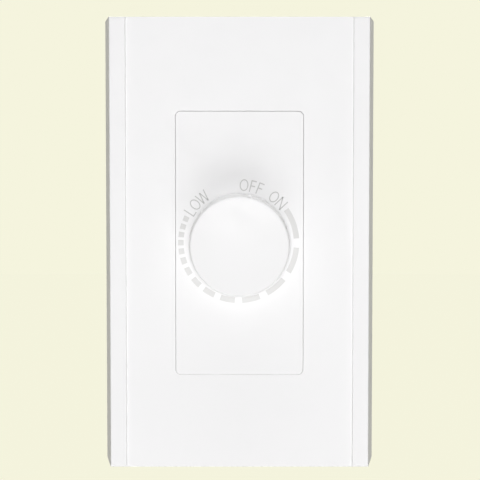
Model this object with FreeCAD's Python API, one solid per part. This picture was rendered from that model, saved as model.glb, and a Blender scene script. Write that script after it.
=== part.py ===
import FreeCAD, Part
import math
import os

# A rotary fan speed control for a single-gang wall box, in millimetres.
# Seen from the room, X runs to the right, Z runs up and Y runs into the wall.
# The origin is on the shaft's axis, in the plane of the wall.

# Cover plate, the white front that clips on with no screw in sight
PLATE_WIDTH = 69.85  # across the edge that meets the wall
PLATE_HEIGHT = 114.3
PLATE_DEPTH = 10.6  # from the wall to the crest of the rails
PLATE_WALL = 2.0
FLANK_LEAN = 2.1  # how far each long side leans in from back to front
RAIL_WIDTH = 4.0
RAIL_RISE = 0.5  # height of a rail over the middle panel
RAIL_FOOT_RUN = 0.12  # sideways run of the step at a rail's inner side
RAIL_ROUND = 0.3  # along the plate's outer edge
RAIL_STEP_ROUND = 0.15  # along the crest and the foot of the step
END_ROUND = 0.6
HOOK_REACH = 1.2  # how far a snap hook stands in from the flank
HOOK_LENGTH = 12.0
HOOK_SPREAD = 56.0  # between the upper and the lower hooks
REST_POST_RADIUS = 1.8  # posts that the cover leans on the sub-plate with
WINDOW_GAP = 0.08  # all round the insert
WINDOW_BREAK = 0.1  # bevel on the window's front edge

# Heights that follow the plate's, worked inwards from its ends
STRAP_END_COVER = 3.95  # how far the cover reaches past each end of the strap
PLATE_SCREW_INSET = 8.73  # of the plate screws from the cover's ends
SCREW_STEP = 6.75  # from a plate screw in to the box screw beside it
INSERT_END_STEP = 8.27  # from a box screw in to the insert's end
HOUSING_MARGIN = 1.7  # taller than the insert by this at each end
STRAP_BODY_MARGIN = 1.4  # of the strap's wide middle past the housing's ends
STRAP_LENGTH = PLATE_HEIGHT - 2 * STRAP_END_COVER
PLATE_SCREW_SPACING = PLATE_HEIGHT - 2 * PLATE_SCREW_INSET
BOX_SCREW_SPACING = PLATE_SCREW_SPACING - 2 * SCREW_STEP
INSERT_HEIGHT = BOX_SCREW_SPACING - 2 * INSERT_END_STEP
STRAP_BODY_LENGTH = INSERT_HEIGHT + 2 * (HOUSING_MARGIN + STRAP_BODY_MARGIN)

# Sub-plate that the cover clips to
SUB_PLATE_THICKNESS = 2.2
SUB_PLATE_CLEARANCE = 0.4
SUB_PLATE_CORNER = 2.0
SUB_WINDOW_GAP = 0.6  # all round the insert

# Face insert that carries the printed dial
INSERT_WIDTH = 32.3
INSERT_CORNER = 1.3
INSERT_WALL = 1.8
INSERT_PROUD = 0.2  # over the cover's middle panel
INSERT_EDGE_ROUND = 0.12
SHAFT_HOLE_CLEARANCE = 0.9
LEG_WIDTH = 8.0
LEG_THICKNESS = 1.3
LEG_NOSE = 0.8  # catch of the leg behind the strap
LEG_NOSE_LENGTH = 1.5
LEG_FLEX_ROOM = 0.2  # past the nose, for the leg to bend into

# Mounting strap, also the heat sink
STRAP_THICKNESS = 1.6
STRAP_WIDTH = 44.4
STRAP_EAR_WIDTH = 42.0
STRAP_EAR_LENGTH = 8.7
STRAP_NECK_WIDTH = 26.0
STRAP_ROUND = 1.5
EAR_SLIT = 1.0  # slit beside the tongue, where an ear snaps off
TONGUE_WIDTH = 16.0
HOLE_CLEARANCE = 0.25  # radial, round screws, rivets and terminals

# Screws
BOX_SCREW_RADIUS = 1.75
BOX_SCREW_NECK = 1.4
BOX_SCREW_REACH = 24.0  # behind the wall plane
SCREW_HEAD_RADIUS = 3.3
SCREW_HEAD_HEIGHT = 2.0
SCREW_SLOT_WIDTH = 0.9
PLATE_SCREW_REACH = 5.6
RETAINER_SIZE = 8.0
RETAINER_CORNER = 0.6
RETAINER_THICKNESS = 0.4
TAPPING_RADIUS = 1.3
TAPPING_HEAD_RADIUS = 2.3
TAPPING_HEAD_HEIGHT = 1.5
TAPPING_REACH = 9.0
THREAD_ROOM = 0.03  # radial, between a screw and the thread that it is in

# Knob
KNOB_RADIUS = 12.7
KNOB_FRONT_RADIUS = 12.25
KNOB_HEIGHT = 10.0
KNOB_CROWN = 0.45
KNOB_EDGE_ROUND = 0.5
KNOB_WALL = 1.6
KNOB_GAP = 0.5  # between the knob and the insert
KNOB_HUB_RADIUS = 5.4
KNOB_RIBS = 6
KNOB_RIB_THICKNESS = 1.2
INDEX_ANGLE = 11.7  # clockwise from the top, where OFF is printed
INDEX_WIDTH = 0.8
INDEX_DEPTH = 0.25
CLIP_THICKNESS = 0.4
CLIP_WIDTH = 3.6

# Shaft and bushing
SHAFT_RADIUS = 3.175
SHAFT_FLAT_DEPTH = 0.95
SHAFT_FRONT_ROOM = 0.4  # between the shaft's end and the knob's front wall
SHAFT_CHAMFER = 0.5
SHAFT_TAIL_RADIUS = 2.5
RUNNING_CLEARANCE = 0.04
BUSHING_RADIUS = 4.76
BUSHING_NECK = 6.4  # in front of the strap's back
BUSHING_FLANGE_RADIUS = 7.5
BUSHING_FLANGE = 1.0
BUSHING_COLLAR = 0.3  # staked over the back of the wafer
WASHER_RADIUS = 7.4
WASHER_THICKNESS = 0.6
WASHER_TEETH = 10
NUT_FLATS = 12.7
NUT_THICKNESS = 2.4
RING_RADIUS = 4.6
RING_THICKNESS = 0.7
RING_GROOVE_DEPTH = 0.75

# Potentiometer
POT_RADIUS = 12.0
CASE_WALL = 0.5
CLINCH_SPREAD = 16.0  # degrees of each tab folded over the wafer
CLINCH_SIDE = 75.0  # degrees from the top tab to those beside it
WAFER_THICKNESS = 1.6
WAFER_TONGUE_WIDTH = 16.0
WAFER_TONGUE_REACH = 2.8  # beyond the case
TERMINAL_PITCH = 5.0
TERMINAL_WIDTH = 2.2
TERMINAL_PIN_WIDTH = 1.2
SHEET = 0.5  # thickness of terminals and contact strips
TURN_RANGE = 300.0  # degrees from OFF to LOW
STOP_MARGIN = 3.0  # degrees left over at each end of the turn
STOP_LUG_ANGLE = 28.0
CARRIER_THICKNESS = 2.0
CARRIER_HUB_RADIUS = 5.6
WIPER_ROOM = 2.4  # between the wafer and the carrier's disc
WIPER_SHEET = 0.4
WIPER_ANGLE = 150.0  # degrees from the stop lug to the first finger
WIPER_SPLIT = 40.0  # degrees between the two fingers
WIPER_LIFT = 0.12  # left under the contact points
CARRIER_BACK_ROOM = 4.0  # between the carrier's disc and the case's back

# Switch on the back of the potentiometer
SWITCH_BASE_THICKNESS = 2.0
CAM_GAP = 0.5
CAM_THICKNESS = 3.0
CAM_RADIUS = 4.4
CAM_LOBE_RADIUS = 6.6
CAM_LOBE_TIP = 1.6
LEAF_GAP = 0.1
LEAF_SHEET = 0.3
LEAF_REACH = 9.6  # from the shaft's axis down to the leaf's tip
CONTACT_RADIUS = 1.1
CONTACT_HEIGHT = 0.7
CONTACT_OPENING = 1.5  # between the contacts when switched off
CONTACT_INSET = 0.6  # of the buttons from the leaf's tip
STRIP_HALF = 1.9  # half the fixed strip's height
TAIL_WIDTH = 1.2  # of the two strips' tails in the board
LEAF_SET = 0.6  # how far the lobe pushes the leaf out from its clamp
LEAF_SWING = 0.8  # how far the tip stands out past the lobe
POST_CHEEK = 1.5  # of the clamping post on each side of the leaf
POST_ROOM = 0.8  # between the lobe's sweep and the post
SHELF_THICKNESS = 2.0

# Circuit board and its pieces
BOARD_GAP = 2.5  # behind the shaft's end
BOARD_THICKNESS = 1.6
BOARD_CLEARANCE = 0.7
BOARD_CORNER = 1.0
SOLDER_ROOM = 6.6
PIN_PAST_BOARD = 0.8
TRIAC_WIDTH = 10.2
TRIAC_BODY_LENGTH = 9.2
TRIAC_TAB_LENGTH = 15.4
TRIAC_TAB_THICKNESS = 1.3
TRIAC_BODY_THICKNESS = 4.5
TRIAC_PITCH = 2.54
TRIAC_LEG_WIDTH = 0.8
TRIAC_RIVET_RADIUS = 1.6
TRIAC_RIVET_HEAD = 0.9
TRIAC_GAP = 0.6  # above the potentiometer
TRIAC_SHIFT = 1.0  # of its middle away from the legs
TRIAC_LIP = 1.0  # moulding in front of the tab's end
TRIAC_LEG_RUN = 4.2  # before the legs bend
PAD_MARGIN = 0.6  # of the pad round the triac
PAD_THICKNESS = 0.25
CHOKE_RADIUS = 6.4
CHOKE_HEIGHT = 11.5
CHOKE_FLANGE = 1.4
CHOKE_CORE_RADIUS = 3.0
CHOKE_TURNS = 9
CHOKE_GAP = 1.8  # above the potentiometer
CHOKE_COVER = 0.5  # of the flanges past the winding
CAPACITOR_LENGTH = 12.4
CAPACITOR_WIDTH = 4.8
CAPACITOR_HEIGHT = 10.5
CAPACITOR_SPACING = 14.6
CAPACITOR_GAP = 0.4  # below the potentiometer's pins
CAPACITOR_CORNER = 0.7
RESISTOR_RADIUS = 1.5
RESISTOR_LENGTH = 8.6
DIODE_RADIUS = 0.95
DIODE_LENGTH = 4.2
SIDE_SHIFT = 0.4  # of the resistors and diode, outwards from the middle of their strip
RIGHT_RESISTOR_HEIGHT = 3.0  # above the shaft's axis
LEFT_RESISTOR_HEIGHT = 5.0
DIODE_DROP = 6.5  # below the shaft's axis
WIRE_RADIUS = 0.35
WIRE_RUN = 1.6  # from a body's end to the bend

# Rear housing
HOUSING_WIDTH = 42.0
HOUSING_WALL = 1.8
HOUSING_DRAFT = 0.5  # how far each side leans in towards the back
HOUSING_CORNER = 3.0
HOUSING_BACK_ROUND = 1.0  # round the edge of the back
BOSS_RADIUS = 2.6
LEDGE_WIDTH = 1.5
LEDGE_LENGTH = 36.0
OUTLET_WIDTH = 14.0
OUTLET_HEIGHT = 6.4
OUTLET_DROP = 20.0  # below the shaft's axis

# Places along Y, worked out from the wall plane forwards and then backwards
OVERSHOOT = 1.0  # how far a cutting solid runs past what it cuts
strap_front = -STRAP_THICKNESS
sub_front = strap_front - SUB_PLATE_THICKNESS
panel_front = RAIL_RISE - PLATE_DEPTH
panel_back = panel_front + PLATE_WALL
insert_front = panel_front - INSERT_PROUD
insert_ceiling = insert_front + INSERT_WALL
knob_back = insert_front - KNOB_GAP
knob_front = knob_back - KNOB_HEIGHT
knob_ceiling = knob_front + KNOB_CROWN + KNOB_WALL
shaft_front = knob_ceiling + SHAFT_FRONT_ROOM
washer_front = strap_front - WASHER_THICKNESS
nut_front = washer_front - NUT_THICKNESS
wafer_back = BUSHING_FLANGE + WAFER_THICKNESS
collar_back = wafer_back + BUSHING_COLLAR
carrier_front = wafer_back + WIPER_ROOM
carrier_back = carrier_front + CARRIER_THICKNESS
case_inside = carrier_back + CARRIER_BACK_ROOM
case_back = case_inside + CASE_WALL
switch_back = case_back + SWITCH_BASE_THICKNESS
cam_front = switch_back + CAM_GAP
cam_back = cam_front + CAM_THICKNESS
board_front = cam_back + BOARD_GAP
board_back = board_front + BOARD_THICKNESS
pin_back = board_back + PIN_PAST_BOARD
housing_inside = board_back + SOLDER_ROOM
housing_back = housing_inside + HOUSING_WALL

# Places across the part
housing_half_width = HOUSING_WIDTH / 2
housing_half_height = INSERT_HEIGHT / 2 + HOUSING_MARGIN
room_half_width = housing_half_width - HOUSING_WALL
room_half_height = housing_half_height - HOUSING_WALL
leg_outside = INSERT_HEIGHT / 2 - INSERT_WALL
boss_x = INSERT_WIDTH / 2 - INSERT_WALL - TAPPING_HEAD_RADIUS
boss_z = leg_outside - TAPPING_HEAD_RADIUS - HOLE_CLEARANCE
terminal_z = POT_RADIUS + WAFER_TONGUE_REACH
pin_z = terminal_z + SHEET
triac_z = POT_RADIUS + TRIAC_WIDTH / 2 + TRIAC_GAP
choke_z = POT_RADIUS + CHOKE_RADIUS + CHOKE_GAP
capacitor_z = -(pin_z + CAPACITOR_WIDTH / 2 + CAPACITOR_GAP)
side_x = (POT_RADIUS + room_half_width) / 2 + SIDE_SHIFT


def vec(x, y, z):
    """A point or a direction."""
    return FreeCAD.Vector(x, y, z)


def slab(x, y, z):
    """A box from its (low, high) limits along X, Y and Z."""
    return Part.makeBox(x[1] - x[0], y[1] - y[0], z[1] - z[0], vec(x[0], y[0], z[0]))


def across(half, centre=0.0):
    """The (low, high) limits of a length that reaches half to each side of a centre."""
    return (centre - half, centre + half)


def disc(radius, y, x=0.0, z=0.0):
    """A cylinder along Y between the limits y."""
    return Part.makeCylinder(radius, y[1] - y[0], vec(x, y[0], z), vec(0, 1, 0))


def tube(outer, inner, y):
    """A ring about the shaft's axis."""
    return disc(outer, y).cut(disc(inner, (y[0] - OVERSHOOT, y[1] + OVERSHOOT)))


def frustum(radius_front, radius_back, y):
    """A cone about the shaft's axis, given by its radii at the two limits of y."""
    return Part.makeCone(radius_front, radius_back, y[1] - y[0], vec(0, y[0], 0), vec(0, 1, 0))


def turned(shape, degrees):
    """A copy turned about the shaft's axis, clockwise as seen from the room."""
    copy = shape.copy()
    copy.rotate(vec(0, 0, 0), vec(0, 1, 0), degrees)
    return copy


def mirrored_pair(shape, normal):
    """A shape and its mirror image across the middle plane with this normal."""
    return [shape, shape.mirror(vec(0, 0, 0), normal)]


def joined(shapes):
    """One solid from several that meet."""
    whole = shapes[0].fuse(shapes[1:])
    return whole.removeSplitter()


def rounded_path(corners, lift):
    """A closed wire through (u, v, radius) corners, each rounded by its radius.

    lift turns a (u, v) pair into a point, so that one routine serves every plane.
    """
    count = len(corners)
    entries = []
    for i in range(count):
        u, v, radius = corners[i]
        before = corners[i - 1]
        after = corners[(i + 1) % count]
        back = (before[0] - u, before[1] - v)
        ahead = (after[0] - u, after[1] - v)
        back_length = math.hypot(back[0], back[1])
        ahead_length = math.hypot(ahead[0], ahead[1])
        back = (back[0] / back_length, back[1] / back_length)
        ahead = (ahead[0] / ahead_length, ahead[1] / ahead_length)
        half = math.acos(back[0] * ahead[0] + back[1] * ahead[1]) / 2
        cut = radius / math.tan(half)
        bisector = (back[0] + ahead[0], back[1] + ahead[1])
        size = math.hypot(bisector[0], bisector[1])
        depth = radius / math.sin(half) - radius
        entries.append(
            {
                "radius": radius,
                "first": (u + back[0] * cut, v + back[1] * cut),
                "middle": (u + bisector[0] / size * depth, v + bisector[1] / size * depth),
                "last": (u + ahead[0] * cut, v + ahead[1] * cut),
            }
        )
    edges = []
    for i in range(count):
        here = entries[i]
        following = entries[(i + 1) % count]
        if here["radius"] > 0:
            points = [lift(*here[name]) for name in ("first", "middle", "last")]
            edges.append(Part.Arc(*points).toShape())
        start = lift(*here["last"])
        end = lift(*following["first"])
        if start.distanceToPoint(end) > 1e-6:
            edges.append(Part.makeLine(start, end))
    return Part.Wire(edges)


def along_y(corners, y):
    """A prism along Y from (x, z, radius) corners."""
    wire = rounded_path(corners, lambda x, z: vec(x, y[0], z))
    return Part.Face(wire).extrude(vec(0, y[1] - y[0], 0))


def along_z(corners, z):
    """A prism along Z from (x, y, radius) corners."""
    wire = rounded_path(corners, lambda x, y: vec(x, y, z[0]))
    return Part.Face(wire).extrude(vec(0, 0, z[1] - z[0]))


def along_x(corners, x):
    """A prism along X from (y, z, radius) corners."""
    wire = rounded_path(corners, lambda y, z: vec(x[0], y, z))
    return Part.Face(wire).extrude(vec(x[1] - x[0], 0, 0))


def oblong_corners(half_width, half_height, radius, x=0.0, z=0.0):
    """The corners of a rounded rectangle."""
    return [
        (x + half_width, z - half_height, radius),
        (x + half_width, z + half_height, radius),
        (x - half_width, z + half_height, radius),
        (x - half_width, z - half_height, radius),
    ]


def oblong(half_width, half_height, radius, y, x=0.0, z=0.0):
    """A prism along Y with a rounded rectangular outline."""
    return along_y(oblong_corners(half_width, half_height, radius, x, z), y)


def tapered_oblong(front, back, y):
    """A solid between two rounded rectangles, each (half_width, half_height, radius)."""
    wires = []
    for outline, depth in ((front, y[0]), (back, y[1])):
        wires.append(rounded_path(oblong_corners(*outline), lambda x, z: vec(x, depth, z)))
    return Part.makeLoft(wires, True, True)


def ring_sector(inner, outer, y, middle, spread):
    """Part of a ring about the shaft's axis, centred on an angle clockwise from the top."""
    corner = [vec(0, y[0], inner), vec(0, y[0], outer), vec(0, y[1], outer), vec(0, y[1], inner)]
    face = Part.Face(Part.makePolygon(corner + corner[:1]))
    sector = face.revolve(vec(0, 0, 0), vec(0, 1, 0), spread)
    return turned(sector, middle - spread / 2)


def rounded_face(shape, radius, depth):
    """Round the edges of the flat face at this depth along Y."""
    front = []
    for face in shape.Faces:
        box = face.BoundBox
        if abs(box.YMin - depth) < 1e-4 and abs(box.YMax - depth) < 1e-4:
            front += face.OuterWire.Edges
    return shape.makeFillet(radius, front)


def flank_x(y):
    """Half the cover plate's width at a depth along Y."""
    return PLATE_WIDTH / 2 + FLANK_LEAN * y / PLATE_DEPTH


def make_cover_plate():
    """The clip-on front: leaning flanks, two rails, a window, hooks and rest posts."""
    crest = flank_x(-PLATE_DEPTH)
    rail_inside = crest - RAIL_WIDTH
    foot = rail_inside - RAIL_FOOT_RUN
    right = [
        (PLATE_WIDTH / 2, 0.0, 0.0),
        (crest, -PLATE_DEPTH, RAIL_ROUND),
        (rail_inside, -PLATE_DEPTH, RAIL_STEP_ROUND),
        (foot, panel_front, RAIL_STEP_ROUND),
    ]
    left = [(-x, y, radius) for x, y, radius in reversed(right)]
    half_height = PLATE_HEIGHT / 2
    across_shape = along_z(right + left, across(half_height))
    ends = [
        (0.0, -half_height, 0.0),
        (-PLATE_DEPTH, -half_height, END_ROUND),
        (-PLATE_DEPTH, half_height, END_ROUND),
        (0.0, half_height, 0.0),
    ]
    shell = across_shape.common(along_x(ends, across(PLATE_WIDTH)))
    room = [
        (flank_x(OVERSHOOT) - PLATE_WALL, OVERSHOOT, 0.0),
        (flank_x(panel_back) - PLATE_WALL, panel_back, 0.0),
    ]
    room += [(-x, y, radius) for x, y, radius in reversed(room)]
    shell = shell.cut(along_z(room, across(half_height - PLATE_WALL)))
    half_window = INSERT_WIDTH / 2 + WINDOW_GAP
    half_window_height = INSERT_HEIGHT / 2 + WINDOW_GAP
    corner = INSERT_CORNER + WINDOW_GAP
    through = (panel_front - OVERSHOOT, panel_back + OVERSHOOT)
    shell = shell.cut(oblong(half_window, half_window_height, corner, through))
    wide = WINDOW_BREAK * 2
    bevel = tapered_oblong(
        (half_window + wide, half_window_height + wide, corner + wide),
        (half_window, half_window_height, corner),
        (panel_front - WINDOW_BREAK, panel_front + WINDOW_BREAK),
    )
    shell = shell.cut(bevel)
    pieces = [shell]
    catch = strap_front + THREAD_ROOM
    nose = flank_x(catch) - PLATE_WALL - HOOK_REACH
    root = flank_x(catch) - PLATE_WALL / 2
    tail = catch / 8
    hook_profile = [
        (root, catch, 0.0),
        (nose, catch, 0.0),
        (nose, catch * 0.6, 0.0),
        (root, tail, 0.0),
    ]
    for side in (-1, 1):
        hook = along_z(hook_profile, across(HOOK_LENGTH / 2, side * HOOK_SPREAD / 2))
        pieces += mirrored_pair(hook, vec(1, 0, 0))
    post_x = (half_window + flank_x(panel_back) - PLATE_WALL) / 2
    for x in (-post_x, post_x):
        for z in (-PLATE_SCREW_SPACING / 2, 0.0, PLATE_SCREW_SPACING / 2):
            pieces.append(disc(REST_POST_RADIUS, (panel_back - PLATE_WALL / 4, sub_front), x, z))
    return joined(pieces)


def make_sub_plate():
    """The frame that is screwed to the strap and that the cover's hooks hold on to."""
    half_width = flank_x(sub_front) - PLATE_WALL - SUB_PLATE_CLEARANCE
    half_height = PLATE_HEIGHT / 2 - PLATE_WALL - SUB_PLATE_CLEARANCE
    depth = (sub_front, strap_front)
    through = (sub_front - OVERSHOOT, strap_front + OVERSHOOT)
    plate = oblong(half_width, half_height, SUB_PLATE_CORNER, depth)
    window = oblong(
        INSERT_WIDTH / 2 + SUB_WINDOW_GAP,
        INSERT_HEIGHT / 2 + SUB_WINDOW_GAP,
        INSERT_CORNER + SUB_WINDOW_GAP,
        through,
    )
    plate = plate.cut(window)
    for side in (-1, 1):
        head = disc(SCREW_HEAD_RADIUS + 2 * HOLE_CLEARANCE, through, 0, side * BOX_SCREW_SPACING / 2)
        plate = plate.cut(head)
        hole = disc(BOX_SCREW_RADIUS + HOLE_CLEARANCE, through, 0, side * PLATE_SCREW_SPACING / 2)
        plate = plate.cut(hole)
    return plate


def make_face_insert():
    """The hollow block behind the dial, with two spring legs through the strap."""
    half_width = INSERT_WIDTH / 2
    half_height = INSERT_HEIGHT / 2
    block = oblong(half_width, half_height, INSERT_CORNER, (insert_front, strap_front))
    block = rounded_face(block, INSERT_EDGE_ROUND, insert_front)
    room = slab(
        across(half_width - INSERT_WALL),
        (insert_ceiling, OVERSHOOT),
        across(half_height - INSERT_WALL),
    )
    block = block.cut(room)
    hole = disc(SHAFT_RADIUS + SHAFT_HOLE_CLEARANCE, (insert_front - OVERSHOOT, 0))
    block = block.cut(hole)
    reach = LEG_NOSE_LENGTH + THREAD_ROOM
    inside = leg_outside - LEG_THICKNESS
    leg_profile = [
        (insert_ceiling / 2, inside, 0.0),
        (reach, inside, 0.0),
        (reach, leg_outside, 0.0),
        (THREAD_ROOM, leg_outside + LEG_NOSE, 0.0),
        (THREAD_ROOM, leg_outside, 0.0),
        (strap_front, leg_outside, 0.0),
        (strap_front, leg_outside + INSERT_WALL / 2, 0.0),
        (insert_ceiling / 2, leg_outside + INSERT_WALL / 2, 0.0),
    ]
    leg = along_x(leg_profile, across(LEG_WIDTH / 2))
    return joined([block] + mirrored_pair(leg, vec(0, 0, 1)))


def make_mounting_strap():
    """The yoke: break-off ears, oblong box screw slots and every hole that the pieces need."""
    half_body = STRAP_BODY_LENGTH / 2
    half_length = STRAP_LENGTH / 2
    ear_start = half_length - STRAP_EAR_LENGTH
    neck_start = half_body + (STRAP_WIDTH - STRAP_NECK_WIDTH) / 5
    upper_right = [
        (STRAP_WIDTH / 2, half_body, STRAP_ROUND),
        (STRAP_NECK_WIDTH / 2, neck_start, STRAP_ROUND / 2),
        (STRAP_NECK_WIDTH / 2, ear_start, STRAP_ROUND / 2),
        (STRAP_EAR_WIDTH / 2, ear_start, STRAP_ROUND),
        (STRAP_EAR_WIDTH / 2, half_length, STRAP_ROUND),
    ]
    upper_left = [(-x, z, radius) for x, z, radius in reversed(upper_right)]
    upper = upper_right + upper_left
    lower = [(x, -z, radius) for x, z, radius in reversed(upper)]
    strap = along_y(upper + lower, (strap_front, 0.0))
    through = (strap_front - OVERSHOOT, OVERSHOOT)
    cuts = [disc(BUSHING_RADIUS + HOLE_CLEARANCE, through)]
    slit_x = TONGUE_WIDTH / 2
    bridge = STRAP_EAR_LENGTH / 3
    for side in (-1, 1):
        screw_z = side * BOX_SCREW_SPACING / 2
        slot_half = BOX_SCREW_NECK + HOLE_CLEARANCE
        cuts.append(oblong(2 * slot_half, slot_half, slot_half * 0.98, through, 0, screw_z))
        tapped = BOX_SCREW_RADIUS + THREAD_ROOM
        cuts.append(disc(tapped, through, 0, side * PLATE_SCREW_SPACING / 2))
        for edge in (-slit_x, slit_x):
            outer = sorted((side * (half_length - bridge), side * (half_length + OVERSHOOT)))
            inner = sorted((side * (ear_start - OVERSHOOT), side * (ear_start + bridge)))
            if STRAP_NECK_WIDTH / 2 > slit_x:
                inner = sorted((side * ear_start, side * (ear_start + bridge)))
            cuts.append(slab(across(EAR_SLIT / 2, edge), through, outer))
            cuts.append(slab(across(EAR_SLIT / 2, edge), through, inner))
        leg_inside = leg_outside - LEG_THICKNESS - LEG_NOSE - LEG_FLEX_ROOM
        leg = sorted((side * (leg_outside + THREAD_ROOM), side * leg_inside))
        cuts.append(slab(across(LEG_WIDTH / 2 + HOLE_CLEARANCE), through, leg))
        for x in (-boss_x, boss_x):
            cuts.append(disc(TAPPING_RADIUS + HOLE_CLEARANCE, through, x, side * boss_z))
    cuts.append(disc(TRIAC_RIVET_RADIUS + THREAD_ROOM, through, triac_hole_x(), triac_z))
    lug = across(lug_width() / 2 + HOLE_CLEARANCE)
    cuts.append(slab(lug, through, lug_limits(HOLE_CLEARANCE)))
    for cut in cuts:
        strap = strap.cut(cut)
    return strap


def lug_width():
    """Width of the case's lug that keeps the potentiometer from turning in the strap."""
    return POT_RADIUS / 4


def lug_limits(room):
    """Limits along Z of that lug, with room to spare."""
    return (POT_RADIUS - CASE_WALL - room, POT_RADIUS + room)


def pan_screw(radius, neck, neck_end, seat, reach, head_radius, head_height, x, z):
    """A slotted pan-head screw along Y, with a thinner neck under its head."""
    head = disc(head_radius, (seat - head_height, seat), x, z)
    rim = [edge for edge in head.Edges if abs(edge.BoundBox.YMax - (seat - head_height)) < 1e-4]
    head = head.makeFillet(head_height * 0.4, rim[:1])
    top = seat - head_height
    slot = slab(
        across(head_radius + OVERSHOOT, x),
        (top - OVERSHOOT, top + head_height * 0.4),
        across(SCREW_SLOT_WIDTH / 2, z),
    )
    head = head.cut(slot)
    pieces = [head]
    if neck_end > seat:
        pieces.append(disc(neck, (seat - head_height / 4, neck_end), x, z))
    shank = disc(radius, (max(seat, neck_end), reach), x, z)
    pieces.append(shank)
    return joined(pieces)


def make_plate_screws():
    """Two screws that hold the sub-plate to the strap."""
    screws = []
    for side in (-1, 1):
        screws.append(
            pan_screw(
                BOX_SCREW_RADIUS,
                BOX_SCREW_RADIUS,
                sub_front,
                sub_front,
                PLATE_SCREW_REACH,
                SCREW_HEAD_RADIUS,
                SCREW_HEAD_HEIGHT,
                0,
                side * PLATE_SCREW_SPACING / 2,
            )
        )
    return Part.makeCompound(screws)


def make_box_screws():
    """Two captive screws that hold the control to the wall box."""
    screws = []
    neck_end = RETAINER_THICKNESS + HOLE_CLEARANCE
    for side in (-1, 1):
        screws.append(
            pan_screw(
                BOX_SCREW_RADIUS,
                BOX_SCREW_NECK,
                neck_end,
                strap_front,
                BOX_SCREW_REACH,
                SCREW_HEAD_RADIUS,
                SCREW_HEAD_HEIGHT,
                0,
                side * BOX_SCREW_SPACING / 2,
            )
        )
    return Part.makeCompound(screws)


def make_screw_retainers():
    """Fibre squares on the necks of the box screws, behind the strap."""
    squares = []
    for side in (-1, 1):
        z = side * BOX_SCREW_SPACING / 2
        half = RETAINER_SIZE / 2
        square = oblong(half, half, RETAINER_CORNER, (0.0, RETAINER_THICKNESS), 0, z)
        through = (-OVERSHOOT, RETAINER_THICKNESS + OVERSHOOT)
        squares.append(square.cut(disc(BOX_SCREW_NECK + THREAD_ROOM, through, 0, z)))
    return Part.makeCompound(squares)


def make_housing_screws():
    """Four tapping screws from the strap into the housing's bosses."""
    screws = []
    for x in (-boss_x, boss_x):
        for z in (-boss_z, boss_z):
            screws.append(
                pan_screw(
                    TAPPING_RADIUS,
                    TAPPING_RADIUS,
                    strap_front,
                    strap_front,
                    TAPPING_REACH,
                    TAPPING_HEAD_RADIUS,
                    TAPPING_HEAD_HEIGHT,
                    x,
                    z,
                )
            )
    return Part.makeCompound(screws)


def make_rear_housing():
    """The moulded box behind the strap: bosses, board ledges and the lead outlet."""
    front = (housing_half_width, housing_half_height, HOUSING_CORNER)
    back = (front[0] - HOUSING_DRAFT, front[1] - HOUSING_DRAFT, HOUSING_CORNER - HOUSING_DRAFT)
    shell = tapered_oblong(front, back, (0.0, housing_back))
    shell = rounded_face(shell, HOUSING_BACK_ROUND, housing_back)
    thinner = HOUSING_CORNER - HOUSING_WALL
    room_front = (room_half_width, room_half_height, thinner)
    room_back = (room_half_width - HOUSING_DRAFT, room_half_height - HOUSING_DRAFT, thinner / 2)
    shell = shell.cut(tapered_oblong(room_front, room_back, (0.0, housing_inside)))
    pieces = [shell]
    into_back = housing_inside + HOUSING_WALL / 2
    for x in (-boss_x, boss_x):
        for z in (-boss_z, boss_z):
            boss = disc(BOSS_RADIUS, (0.0, into_back), x, z)
            wall = sorted((z, math.copysign(housing_half_height - HOUSING_DRAFT - HOUSING_WALL / 2, z)))
            web = slab(across(BOSS_RADIUS / 2, x), (0.0, into_back), wall)
            pieces += [boss, web]
    for side in (-1, 1):
        far = side * (housing_half_width - HOUSING_DRAFT - HOUSING_WALL / 4)
        reach = sorted((side * (room_half_width - LEDGE_WIDTH), far))
        pieces.append(slab(reach, (board_back, into_back), across(LEDGE_LENGTH / 2)))
    housing = joined(pieces)
    for x in (-boss_x, boss_x):
        for z in (-boss_z, boss_z):
            pilot = disc(TAPPING_RADIUS + THREAD_ROOM, (-OVERSHOOT, TAPPING_REACH + OVERSHOOT), x, z)
            housing = housing.cut(pilot)
    outlet = oblong(
        OUTLET_WIDTH / 2,
        OUTLET_HEIGHT / 2,
        OUTLET_HEIGHT * 0.3,
        (housing_inside - OVERSHOOT / 2, housing_back + OVERSHOOT),
        0,
        -OUTLET_DROP,
    )
    return housing.cut(outlet)


def knob_side(inset):
    """The knob's tapered side as a solid, inset all round."""
    slope = (KNOB_RADIUS - KNOB_FRONT_RADIUS) / KNOB_HEIGHT
    front = knob_front - OVERSHOOT
    back = knob_back + OVERSHOOT
    radius_front = KNOB_FRONT_RADIUS - slope * OVERSHOOT - inset
    radius_back = KNOB_RADIUS + slope * OVERSHOOT - inset
    return frustum(radius_front, radius_back, (front, back))


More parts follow.
